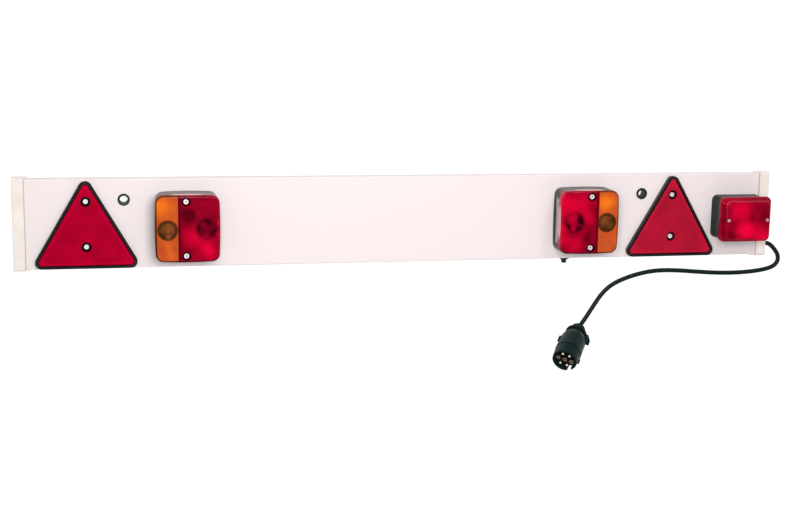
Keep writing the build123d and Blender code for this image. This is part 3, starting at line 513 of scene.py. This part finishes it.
def add_disc(finish, base, pattern, disc, middle, blur, tones):
    """A lens colour and its relief with a ringed disc, painted with light and shade where a bulb sits behind it."""
    spot_x, spot_y, radius, lit, spots = disc
    bright, dark, deep = tones
    size = radius / MM_PER_M
    reach = finish.distance((middle[0] + spot_x / MM_PER_M, middle[1] + spot_y / MM_PER_M))
    inside = finish.range(reach, 1.0, 0.0, size - blur, size + DISC_EDGE)
    rings = finish.saw(reach, RING_PITCH)
    fall = finish.range(reach, 0.0, DISC_FALL_SHADE, *(size * share for share in DISC_FALL))
    shade = finish.maths("ADD", finish.range(rings, *RING_SHADES), fall)
    core = finish.patches(shade, middle, spots)
    glow = [DISC_DARK_SHARE * d + k * b for d, k, b in zip(dark, lit, bright)]
    base = finish.mix(inside, base, finish.mix(core, deep, glow))
    return base, finish.mix(inside, pattern, rings)


def lens_finish(name, bright, acrylic, middle, half, glows, disc=None, wells=(), seam=None, step=None):
    """Coloured acrylic with moulded flutes and a ringed disc, with painted patches of light and shade for a lamp's
    lit inside.
    """
    dark = [c * share for c, share in zip(bright, acrylic["shares"])]
    deep = acrylic["deep"]
    finish = Finish(name, Roughness=0.22, Specular_IOR_Level=0.01, Coat_Roughness=0.06)
    x, y, _ = finish.apart()
    pattern = finish.saw(x, FLUTE_PITCH)
    clouds = finish.range(finish.noise(LENS_CLOUD_SCALE, FINE_DETAIL), *LENS_CLOUDS, *NOISE_SPAN)
    level = finish.maths("ADD", clouds, finish.range(pattern, *FLUTE_SHADES))
    # The glows paint patches of light and shade for the lamp's lit inside.
    base = finish.mix(finish.patches(level, middle, glows), dark, bright)
    if disc is not None:
        base, pattern = add_disc(finish, base, pattern, disc, middle, acrylic["blur"], (bright, dark, deep))
    # Painted shade in the well round each screw.
    for well in wells:
        base = finish.mix(finish.range(finish.distance(well), 1.0, 0.0, *WELL_EDGE), base, deep)
    if seam is not None:
        band = finish.range(finish.gap(x, seam), 1.0, 0.0, *LENS_SEAM_EDGE)
        base = finish.mix(band, base, toned(dark, LENS_SEAM_TONE))

    rim = finish.rounded(middle, half, LENS_CORNER)
    foot = middle[1] - half[1]
    low_share, high_share, height = acrylic["outline"]
    share = finish.range(y, low_share, high_share, foot + LENS_FOOT, foot + height)
    # A painted shade line along the rim.
    line = finish.maths("MULTIPLY", finish.range(rim, 0.0, 1.0, *RIM_LINE), share)
    base = finish.mix(line, base, deep)
    # The upper side wall, and the left one by the acrylic's share, painted in the wall colour for the light on them.
    upper = finish.range(finish.facing(UP_IN_USE), 0.0, 1.0, *WALL_SLOPE)
    left = finish.range(finish.facing(LEFT), 0.0, acrylic["left"], *WALL_SLOPE)
    pale = finish.maths("MAXIMUM", upper, left)
    wall = finish.maths("MULTIPLY", finish.range(rim, 0.0, 1.0, *RIM_WALL), pale)
    base = finish.mix(wall, base, acrylic["wall"])

    bare = finish.maths("SUBTRACT", 1.0, line)
    gloss = finish.maths("MULTIPLY", finish.range(rim, 0.0, RIM_GLOSS, *RIM_SHINE), bare)
    if step is not None:
        brink = finish.maths("ABSOLUTE", finish.rounded(middle, step, STEP_CORNER))
        fade = finish.range(y, *STEP_FADE_SHARES, *(middle[1] + offset for offset in STEP_FADE))
        brim = finish.maths("MULTIPLY", finish.range(brink, STEP_GLOSS, 0.0, *STEP_EDGE), fade)
        gloss = finish.maths("MAXIMUM", gloss, brim)
    flat = finish.range(rim, 1.0, 0.0, *RIM_FLAT)
    finish.set(
        Base_Color=base,
        Normal=finish.bump(finish.maths("MULTIPLY", pattern, flat), *LENS_BUMP),
        Coat_Weight=gloss,
    )
    clear = finish.node("ShaderNodeBsdfTransparent", {"Color": bright})
    see = finish.node("ShaderNodeMixShader", {0: LENS_SOLID, 1: clear.outputs[0], 2: finish.shader.outputs[0]})
    finish.put(finish.tree.nodes["Material Output"].inputs["Surface"], see.outputs[0])
    return finish


# A glow is a soft painted patch, of light where its gain is positive and of shade where it is negative: X and Y from
# the middle of the lens, radius and gain.
# A disc has X and Y from the middle of the lens, its radius, how much of each colour is painted as lit, and painted
# patches of light and shade inside it.
RED_GLOWS = {
    "left": (
        (0.5, 21.0, 16.0, -0.44), (10.0, -12.0, 25.0, 0.5), (29.0, -27.0, 20.0, 0.55), (34.0, -40.0, 18.0, 0.4),
        (47.0, 8.0, 8.0, 0.5), (47.0, -8.0, 8.0, 0.3), (47.0, 24.0, 8.0, 0.25), (30.0, 34.0, 18.0, 0.1),
        (18.0, -38.0, 20.0, 0.2),
    ),
    "right": (
        (-42.0, 26.0, 32.0, 0.55), (-16.0, 30.0, 30.0, 0.55), (-47.0, -8.0, 14.0, 0.55), (-45.0, -26.0, 18.0, 0.45),
        (-26.0, -36.0, 24.0, 0.42), (-4.0, -25.0, 13.0, -0.3), (-4.0, 6.0, 18.0, 0.42), (-42.0, 36.0, 14.0, 0.2),
    ),
}
RED_DISCS = {
    "left": (28.0, 0.5, 18.6, (0.36, 0.3, 0.5), (
        (30.0, 12.0, 10.0, -0.45), (15.0, 1.0, 10.0, -0.35), (41.0, -6.0, 10.0, -0.45), (27.0, -12.0, 9.0, 0.5),
        (24.0, 5.0, 9.0, 0.25),
    )),
    "right": (-25.0, 0.5, 19.0, (0.6, 0.4, 0.7), (
        (-14.5, 6.0, 13.0, -1.0), (-39.0, -7.0, 10.0, -0.7), (-19.5, -11.0, 8.0, -0.8), (-29.0, 8.0, 17.0, 0.75),
        (-27.0, -10.0, 9.0, 0.6),
    )),
}
AMBER_GLOWS = {
    "left": (
        (-41.0, 34.0, 24.0, 0.62), (-27.0, 34.0, 20.0, 0.12), (-29.0, -25.0, 9.0, 0.26), (-28.0, -33.0, 10.0, 0.16),
        (-24.0, -42.0, 12.0, 0.24), (-42.0, -30.0, 12.0, -0.16), (-19.0, -30.0, 10.0, -0.14),
    ),
    "right": ((25.0, 31.0, 20.0, 0.85), (40.0, 36.0, 16.0, 0.2), (42.0, -28.0, 12.0, 0.1)),
}
AMBER_DISCS = {
    "left": (-30.0, -1.8, 16.0, (0.0, 0.22, 0.8), (
        (-28.0, 1.0, 12.0, 0.55), (-37.0, -10.0, 8.0, -0.35), (-29.0, -12.0, 6.0, 0.7),
    )),
    "right": (28.5, -0.5, 16.2, (0.0, 0.24, 0.7), (
        (24.0, 4.0, 11.0, 0.35), (27.0, -11.0, 9.0, -0.3), (38.0, 3.0, 8.0, -0.3),
    )),
}
# Painted light on the top walls of the rear lamp bases, stronger on the left one.
PAINTED_TOP_LIGHT = {"left": 0.42, "right": 0.22}
LENS_SEAM_INSET = 0.0022
WINDOW_TINT = (0.56, 0.64, 0.54)
WINDOW_BUMP = (0.05, 0.0002)
WINDOW_WAVE_SCALE = 300.0
TRAY_SILVER = (0.86, 0.86, 0.86)
TRAY_ROUGHNESS = (0.12, 0.3)
TRAY_CLOUD_SCALE = 60.0
HOLDER_WHITE = (0.7, 0.7, 0.66)


def lamp_insides(kind, rubber):
    """Finishes of a lamp's reflector tray, bulb holders and foam seal."""
    tray = Finish(f"{kind} tray metallised", Metallic=1.0, Base_Color=TRAY_SILVER)
    tray.set(Roughness=tray.range(tray.noise(TRAY_CLOUD_SCALE), *TRAY_ROUGHNESS))
    holder = moulded(f"{kind} holder white", HOLDER_WHITE, roughness=0.5)
    foam = moulded(f"{kind} seal foam", rubber, roughness=0.8, grain=500.0, depth=0.0006)
    return tray, holder, foam


class LIGHTBOARD_OT_rear_lamps(bpy.types.Operator):
    """Finish the two rear lamps"""

    bl_idname = "lightboard.rear_lamps"
    bl_label = "Rear lamps"

    def execute(self, context):
        colours = context.scene.board_colours
        tray, holder, foam = lamp_insides("Rear", list(colours.rubber))
        for side, outward in zip(SIDES, (-1, 1)):
            red_lens, amber_lens = f"lamp_lens_red_{side}", f"lamp_lens_amber_{side}"
            middle, half = plan(red_lens, amber_lens)
            low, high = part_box(red_lens)
            seam = (low[0] if outward < 0 else high[0]) - outward * LENS_SEAM_INSET
            red = lens_finish(
                f"Lens red {side}", list(colours.red), RED_ACRYLIC, middle, half, RED_GLOWS[side], RED_DISCS[side],
                ends(f"lens_screws_{side}"), seam,
            )
            amber = lens_finish(
                f"Lens amber {side}", list(colours.amber), AMBER_ACRYLIC, middle, half, AMBER_GLOWS[side],
                AMBER_DISCS[side],
            )
            dress(red, red_lens)
            dress(amber, amber_lens)
            # The lamp base's top wall gets painted light.
            black = moulded(
                f"Lamp base black {side}", list(colours.black), roughness=0.4, gloss=0.2, painted_top=PAINTED_TOP_LIGHT[side]
            )
            dress(black, f"lamp_base_{side}")
            dress(tray, f"lamp_reflector_{side}")
            dress(holder, f"bulb_holders_{side}")
            dress(foam, f"lamp_gasket_{side}")
        window = Finish("Window clear", Roughness=0.12, Base_Color=WINDOW_TINT, Transmission_Weight=0.6)
        window.set(Normal=window.bump(window.noise(WINDOW_WAVE_SCALE), *WINDOW_BUMP))
        dress(window, "number_plate_window")
        return {"FINISHED"}


FOG_BRIGHT = 1.2
FOG_STEP = (0.0392, 0.032)
# Painted patches of light and shade on the fog lens, in the same columns as the glows above.
FOG_GLOWS = (
    (-5.0, -16.0, 22.0, 0.8), (10.0, -20.0, 24.0, 0.5), (30.0, -29.0, 22.0, 0.6), (-14.0, 15.0, 28.0, 0.55),
    (-28.0, -26.0, 14.0, -0.25), (-42.0, -2.0, 9.0, -0.2), (-34.0, 28.0, 12.0, 0.25), (6.0, 5.0, 14.0, -0.08),
    (30.0, 10.0, 18.0, -0.2),
)


class LIGHTBOARD_OT_fog_lamp(bpy.types.Operator):
    """Finish the fog lamp"""

    bl_idname = "lightboard.fog_lamp"
    bl_label = "Fog lamp"

    def execute(self, context):
        colours = context.scene.board_colours
        middle, half = plan("fog_lens")
        bright = toned(colours.red, FOG_BRIGHT)
        dress(lens_finish("Fog lens red", bright, FOG_ACRYLIC, middle, half, FOG_GLOWS, step=FOG_STEP), "fog_lens")
        dress(moulded("Fog base black", list(colours.black), roughness=0.4), "fog_base")
        tray, holder, foam = lamp_insides("Fog", list(colours.rubber))
        dress(tray, "fog_reflector")
        dress(holder, "fog_bulb_holder")
        dress(foam, "fog_gasket")
        return {"FINISHED"}


BULB_NECK = 0.0126
BULB_BRASS = (0.86, 0.64, 0.3)
BULB_GLASS = (0.95, 0.95, 0.93)


class LIGHTBOARD_OT_bulbs(bpy.types.Operator):
    """Finish the bulbs, brass below and glass above"""

    bl_idname = "lightboard.bulbs"
    bl_label = "Bulbs"

    def execute(self, context):
        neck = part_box("fog_bulb")[0][2] + BULB_NECK
        bulb = Finish("Bulb glass and brass", Roughness=0.06, IOR=1.45)
        glass = bulb.maths("GREATER_THAN", bulb.apart()[2], neck)
        bulb.set(
            Base_Color=bulb.mix(glass, BULB_BRASS, BULB_GLASS),
            Metallic=bulb.maths("SUBTRACT", 1.0, glass),
            Transmission_Weight=glass,
        )
        dress(bulb, "bulbs_left", "bulbs_right", "fog_bulb")
        return {"FINISHED"}


SCREW_HEAD = 0.004
HEAD_METALLIC = 0.2
NUT_METALLIC = 0.55
NUT_TONE = 0.8
# How strong the painted shade in the recess of a tray screw's head is.
TRAY_SCREW_RECESS = 0.3
# A painted red reflection of the lens on the fog lens screws.
PAINTED_RED_REFLECTION = (0.95, 0.62, 0.66)


class LIGHTBOARD_OT_fasteners(bpy.types.Operator):
    """Finish the screws, bolts and nuts"""

    bl_idname = "lightboard.fasteners"
    bl_label = "Screws, bolts and nuts"

    def execute(self, context):
        steel = list(context.scene.board_colours.steel)
        dull = plated("Zinc plate", toned(steel, NUT_TONE), NUT_METALLIC)
        dress(dull, "triangle_nuts", "lamp_bolts", "lamp_nuts")
        low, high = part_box("triangle_screws")
        rows = (low[1] + SCREW_HEAD, high[1] - SCREW_HEAD)
        spots = [(centre(f"triangle_reflector_{side}").x, y) for side in SIDES for y in rows]
        heads = plated("Zinc plate on trays", steel, HEAD_METALLIC, spots, TRAY_SCREW_RECESS)
        dress(heads, "triangle_screws")
        for side in SIDES:
            node = f"lens_screws_{side}"
            dress(plated(f"Zinc plate on lens {side}", steel, HEAD_METALLIC, ends(node)), node)
        # The fog lens screws get the painted red reflection.
        blush = [c * share for c, share in zip(steel, PAINTED_RED_REFLECTION)]
        dress(plated("Zinc plate on fog lens", blush, NUT_METALLIC), "fog_lens_screws")
        return {"FINISHED"}


SMOOTH_BELOW = math.radians(30)


def add_piece(name, shape):
    """Turn a finished shape into a piece of the part."""
    bmesh.ops.recalc_face_normals(shape, faces=shape.faces)
    mesh = bpy.data.meshes.new(name)
    shape.to_mesh(mesh)
    shape.free()
    mesh.shade_smooth()
    mesh.set_sharp_from_angle(angle=SMOOTH_BELOW)
    piece = bpy.data.objects.new(name, mesh)
    bpy.context.scene.collection.objects.link(piece)
    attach(piece, "root")
    return piece


SLEEVE_WALL = 0.0012
SLEEVE_FOOT = 0.0008
SLEEVE_EDGE = 0.0004
SLEEVE_SEGMENTS = 64
CLIP_WHITE = (0.74, 0.73, 0.7)


def sleeve(name, grommet, bore):
    """A thin rubber tube that runs back from a grommet through the channel."""
    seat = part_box(grommet)[0][2]
    middle = centre(grommet)
    outside = bore + SLEEVE_WALL
    profile = (
        (bore, seat), (bore, SLEEVE_FOOT + SLEEVE_EDGE), (bore + SLEEVE_EDGE, SLEEVE_FOOT),
        (outside - SLEEVE_EDGE, SLEEVE_FOOT), (outside, SLEEVE_FOOT + SLEEVE_EDGE), (outside, seat),
    )
    shape = bmesh.new()
    ring = [shape.verts.new((middle.x + radius, middle.y, height)) for radius, height in profile]
    section = [shape.edges.new((ring[i], ring[(i + 1) % len(ring)])) for i in range(len(ring))]
    bmesh.ops.spin(
        shape, geom=ring + section, cent=(middle.x, middle.y, 0.0), axis=(0.0, 0.0, 1.0), angle=2 * math.pi,
        steps=SLEEVE_SEGMENTS, use_merge=True,
    )
    return add_piece(name, shape)


class LIGHTBOARD_OT_rubber(bpy.types.Operator):
    """Finish the grommets, the clips and the cables behind the board, and add the grommets' sleeves"""

    bl_idname = "lightboard.rubber"
    bl_label = "Grommets, clips and harness"

    def execute(self, context):
        colours = context.scene.board_colours
        rubber = moulded("Grommet rubber", list(colours.rubber), roughness=0.5, gloss=0.3)
        dress(rubber, "grommet_left", "grommet_right", "exit_grommet")
        bores = {mount["name"]: mount["dims"] for mount in frame["record"]["mounts"]}
        for side in SIDES:
            grommet = f"grommet_{side}"
            tube = sleeve(f"grommet_sleeve_{side}", grommet, bores[f"{grommet}_bore"]["r_mm"] / MM_PER_M)
            tube.data.materials.append(rubber.material)
        dress(moulded("Clip black", list(colours.black), roughness=0.45), "stow_clip")
        dress(moulded("Cable clip white", CLIP_WHITE, roughness=0.5), "cable_clips")
        harness = moulded("Harness sheath", list(colours.rubber), roughness=0.45)
        dress(harness, "harness_main", "harness_link", "harness_fog")
        return {"FINISHED"}


PLUG_AXIS = Vector((-0.506513, -0.395762, 0.76604))
PLUG_REAR = Vector((-0.3242, -0.1388, -0.00211))
STUD_SIDE = Vector((-0.8543, 0.3436, -0.3873))
STUD_SIZE = (0.0095, 0.0045, 0.008)
STUD_ALONG = 0.0455
STUD_OUT = 0.0218
STUD_EDGE = 0.0014
STUD_EDGE_STEPS = 4
CARRIER_TONE = 0.6
CONTACT_METALLIC = 0.3
CONTACT_SLOPE = (0.85, 0.97)
# Painted shade on the shafts of the contacts, deep in the socket.
PIN_SHAFT_SHADE = (0.05, 0.03, 0.018)
PIN_BAND = 0.0016
SLEEVE_SHAFT_SHADE = (0.03, 0.015, 0.008)
SLEEVE_BAND = 0.0006


def cable_exit():
    """The middle of the hole where the cable leaves the end cap."""
    low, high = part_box("exit_grommet")
    return Vector((high[0], (low[1] + high[1]) / 2, (low[2] + high[2]) / 2))


def plug_stud(name):
    """A small rounded block on the plug's side."""
    across = PLUG_AXIS.cross(STUD_SIDE)
    place = cable_exit() + PLUG_REAR + PLUG_AXIS * STUD_ALONG + STUD_SIDE * STUD_OUT
    turn = Matrix((PLUG_AXIS, STUD_SIDE, across)).transposed().to_4x4()
    shape = bmesh.new()
    bmesh.ops.create_cube(shape, size=1.0)
    bmesh.ops.scale(shape, vec=STUD_SIZE, verts=shape.verts)
    bmesh.ops.bevel(shape, geom=shape.edges, offset=STUD_EDGE, segments=STUD_EDGE_STEPS, profile=0.5, affect="EDGES")
    bmesh.ops.transform(shape, matrix=Matrix.Translation(place) @ turn, verts=shape.verts)
    return add_piece(name, shape)


def contact(name, node, tip, shaft, band):
    """Contact metal that is bright on its end face, with painted shade along its shaft."""
    top = max(PLUG_AXIS.dot(vertex.co) for vertex in NODES[node].data.vertices)
    finish = Finish(name, Metallic=CONTACT_METALLIC)
    marks = finish.noise(TURNING_SCALE)
    flat = finish.range(finish.facing(PLUG_AXIS), 0.0, 1.0, *CONTACT_SLOPE)
    end = finish.range(finish.along(PLUG_AXIS), 0.0, 1.0, top - band, top - band / 2)
    bright = finish.mix(marks, toned(tip, TURNING_TONE), tip)
    finish.set(
        Base_Color=finish.mix(finish.maths("MULTIPLY", end, flat), shaft, bright),
        Roughness=finish.range(marks, *PLATE_ROUGHNESS),
        Normal=finish.bump(marks, *TURNING_BUMP),
    )
    return finish


class LIGHTBOARD_OT_plug(bpy.types.Operator):
    """Finish the plug and add the stud on its side"""

    bl_idname = "lightboard.plug"
    bl_label = "Plug"

    def execute(self, context):
        colours = context.scene.board_colours
        black = moulded(
            "Plug black", list(colours.black), roughness=0.44, grain=600.0, depth=0.0002, gloss=0.08
        )
        dress(black, "plug_shell", "gland_nut")
        plug_stud("plug_stud").data.materials.append(black.material)
        dress(moulded("Pin carrier black", toned(colours.black, CARRIER_TONE), roughness=0.5), "pin_carrier")
        pins = contact("Pin bright", "solid_pins", list(colours.pin), PIN_SHAFT_SHADE, PIN_BAND)
        dress(pins, "solid_pins")
        sleeves = contact("Sleeve brass", "hollow_pins", list(colours.brass), SLEEVE_SHAFT_SHADE, SLEEVE_BAND)
        dress(sleeves, "hollow_pins")
        return {"FINISHED"}


SHEATH_ROUNDNESS = 5
SHEATH_STEPS = 10
ROUTE_ORDER = 3
CABLE_ROUTE = (
    (0.0, 0.0, 0.0), (8.8, 0.0, 0.0), (22.3, -11.8, -3.8), (30.6, -22.5, -6.0),
    (31.1, -33.0, -6.15), (24.8, -41.3, -6.15), (10.8, -46.4, -6.15), (-9.2, -49.6, -6.15),
    (-35.2, -51.6, -6.15), (-70.2, -51.9, -6.15), (-110.2, -49.2, -6.15), (-155.2, -45.0, -6.15),
    (-190.2, -44.5, -6.15), (-220.2, -49.2, -6.15), (-249.2, -58.0, -6.15), (-270.7, -68.6, -6.15),
    (-286.2, -83.6, -6.15), (-297.4, -100.6, -6.15), (-305.7, -113.8, -6.15), (-314.7, -127.6, -6.15),
    (-321.527, -136.711, -6.15), (-327.239, -141.175, 2.489),
)


class LIGHTBOARD_OT_cable(bpy.types.Operator):
    """Lay the free cable from the end cap to the plug"""

    bl_idname = "lightboard.cable"
    bl_label = "Cable"

    def execute(self, context):
        look = context.scene.cable_look
        start = cable_exit()
        points = [start + Vector(step) / MM_PER_M for step in CABLE_ROUTE]
        curve = bpy.data.curves.new("cable_sheath", "CURVE")
        curve.dimensions = "3D"
        curve.bevel_depth = look.diameter / 2
        curve.bevel_resolution = SHEATH_ROUNDNESS
        curve.resolution_u = SHEATH_STEPS
        curve.use_fill_caps = True
        spline = curve.splines.new("NURBS")
        spline.points.add(len(points) - 1)
        for point, place in zip(spline.points, points):
            point.co = (*place, 1.0)
        spline.order_u = ROUTE_ORDER
        spline.use_endpoint_u = True
        sheath = bpy.data.objects.new("cable_sheath", curve)
        context.scene.collection.objects.link(sheath)
        colour = list(context.scene.board_colours.rubber)
        rubber = moulded("Cable sheath", colour, roughness=0.42, grain=700.0, depth=0.0001)
        curve.materials.append(rubber.material)
        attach(sheath, "root")
        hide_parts("cable")
        return {"FINISHED"}


FLOOR_HALF = 6.0
FLOOR_HEIGHT = -0.0004
FLOOR_COLOUR = (0.3, 0.3, 0.3)
FLOOR_GLOW = 0.9
WHITE = (1.0, 1.0, 1.0)
LIGHTS = {
    "key": {"place": (-0.22, 0.36, 1.5), "target": (-0.22, 0.0, 0.0), "size": (0.7, 0.6), "spread": math.pi},
    "side": {"place": (0.66, 1.15, 1.25), "target": (0.6, 0.0, 0.0), "size": (0.4, 0.3), "spread": 1.1},
    "fill": {"place": (0.2, -1.9, 2.5), "target": (0.0, 0.0, 0.0), "size": (3.4, 1.6), "spread": math.pi},
}
CAMERA_PLACE = (-0.44866, 0.34016, 2.14987)
CAMERA_RIGHT = Vector((0.97711, 0.01832, 0.21193))
CAMERA_UP = Vector((0.01986, 0.98407, -0.17666))
CAMERA_SHIFT = (-0.0372029, -0.0120152)
SENSOR_WIDTH = 36.0
VIEW_END = 50.0


def soft_light(name, power, place, target, size, spread):
    """A large soft light that faces a target."""
    light = bpy.data.lights.new(name, "AREA")
    light.shape = "RECTANGLE"
    light.size, light.size_y = size
    light.energy = power
    light.spread = spread
    lamp = bpy.data.objects.new(name, light)
    lamp.location = place
    lamp.rotation_euler = (Vector(target) - Vector(place)).to_track_quat("-Z", "Y").to_euler()
    bpy.context.scene.collection.objects.link(lamp)


class LIGHTBOARD_OT_stage(bpy.types.Operator):
    """Make the floor, the lights and the camera"""

    bl_idname = "lightboard.stage"
    bl_label = "Stage"

    def execute(self, context):
        scene = context.scene
        look = scene.stage_look
        floor = bpy.data.meshes.new("floor")
        turns = ((-1, -1), (1, -1), (1, 1), (-1, 1))
        corners = [(x * FLOOR_HALF, y * FLOOR_HALF, FLOOR_HEIGHT) for x, y in turns]
        floor.from_pydata(corners, [], [(0, 1, 2, 3)])
        pale = Finish("Floor white", Base_Color=FLOOR_COLOUR, Roughness=0.9, Specular_IOR_Level=0.0)
        pale.set(Emission_Color=WHITE, Emission_Strength=FLOOR_GLOW)
        floor.materials.append(pale.material)
        ground = bpy.data.objects.new("floor", floor)
        scene.collection.objects.link(ground)

        for name, light in LIGHTS.items():
            soft_light(name, getattr(look, name), **light)
        world = bpy.data.worlds.new("Studio")
        world.use_nodes = True
        background = world.node_tree.nodes["Background"]
        background.inputs["Color"].default_value = (*WHITE, 1.0)
        background.inputs["Strength"].default_value = look.room
        scene.world = world
        scene.view_settings.view_transform = "Standard"

        camera = bpy.data.cameras.new("camera")
        camera.sensor_width = SENSOR_WIDTH
        camera.lens = look.lens
        camera.shift_x, camera.shift_y = CAMERA_SHIFT
        camera.clip_end = VIEW_END
        eye = bpy.data.objects.new("camera", camera)
        back = CAMERA_RIGHT.cross(CAMERA_UP)
        turn = Matrix((CAMERA_RIGHT, CAMERA_UP, back)).transposed().to_4x4()
        eye.matrix_world = Matrix.Translation(CAMERA_PLACE) @ turn
        scene.collection.objects.link(eye)
        scene.camera = eye
        return {"FINISHED"}


class LIGHTBOARD_PT_sidebar(bpy.types.Panel):
    """Steps that dress the lighting board"""

    bl_label = "Lighting board"
    bl_idname = "LIGHTBOARD_PT_sidebar"
    bl_space_type = "VIEW_3D"
    bl_region_type = "UI"
    bl_category = "Lighting board"

    def draw(self, context):
        for step in STEPS:
            self.layout.operator(step.bl_idname)
        for group in (context.scene.board_colours, context.scene.cable_look, context.scene.stage_look):
            for name in group.__annotations__:
                self.layout.prop(group, name)


STEPS = (
    LIGHTBOARD_OT_plug,
    LIGHTBOARD_OT_cable,
    LIGHTBOARD_OT_extrusion,
    LIGHTBOARD_OT_triangles,
    LIGHTBOARD_OT_rear_lamps,
    LIGHTBOARD_OT_fog_lamp,
    LIGHTBOARD_OT_bulbs,
    LIGHTBOARD_OT_fasteners,
    LIGHTBOARD_OT_rubber,
    LIGHTBOARD_OT_stage,
)
CLASSES = (BoardColours, CableLook, StageLook, *STEPS, LIGHTBOARD_PT_sidebar)


def register():
    """Add the classes and their settings."""
    for item in CLASSES:
        bpy.utils.register_class(item)
    bpy.types.Scene.board_colours = PointerProperty(type=BoardColours)
    bpy.types.Scene.cable_look = PointerProperty(type=CableLook)
    bpy.types.Scene.stage_look = PointerProperty(type=StageLook)


def unregister():
    """Take the settings and classes away."""
    del bpy.types.Scene.stage_look
    del bpy.types.Scene.cable_look
    del bpy.types.Scene.board_colours
    for item in reversed(CLASSES):
        bpy.utils.unregister_class(item)


def main():
    """Dress the board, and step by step."""
    register()
    for step in STEPS:
        group, name = step.bl_idname.split(".")
        getattr(getattr(bpy.ops, group), name)()


if __name__ == "__main__":
    main()
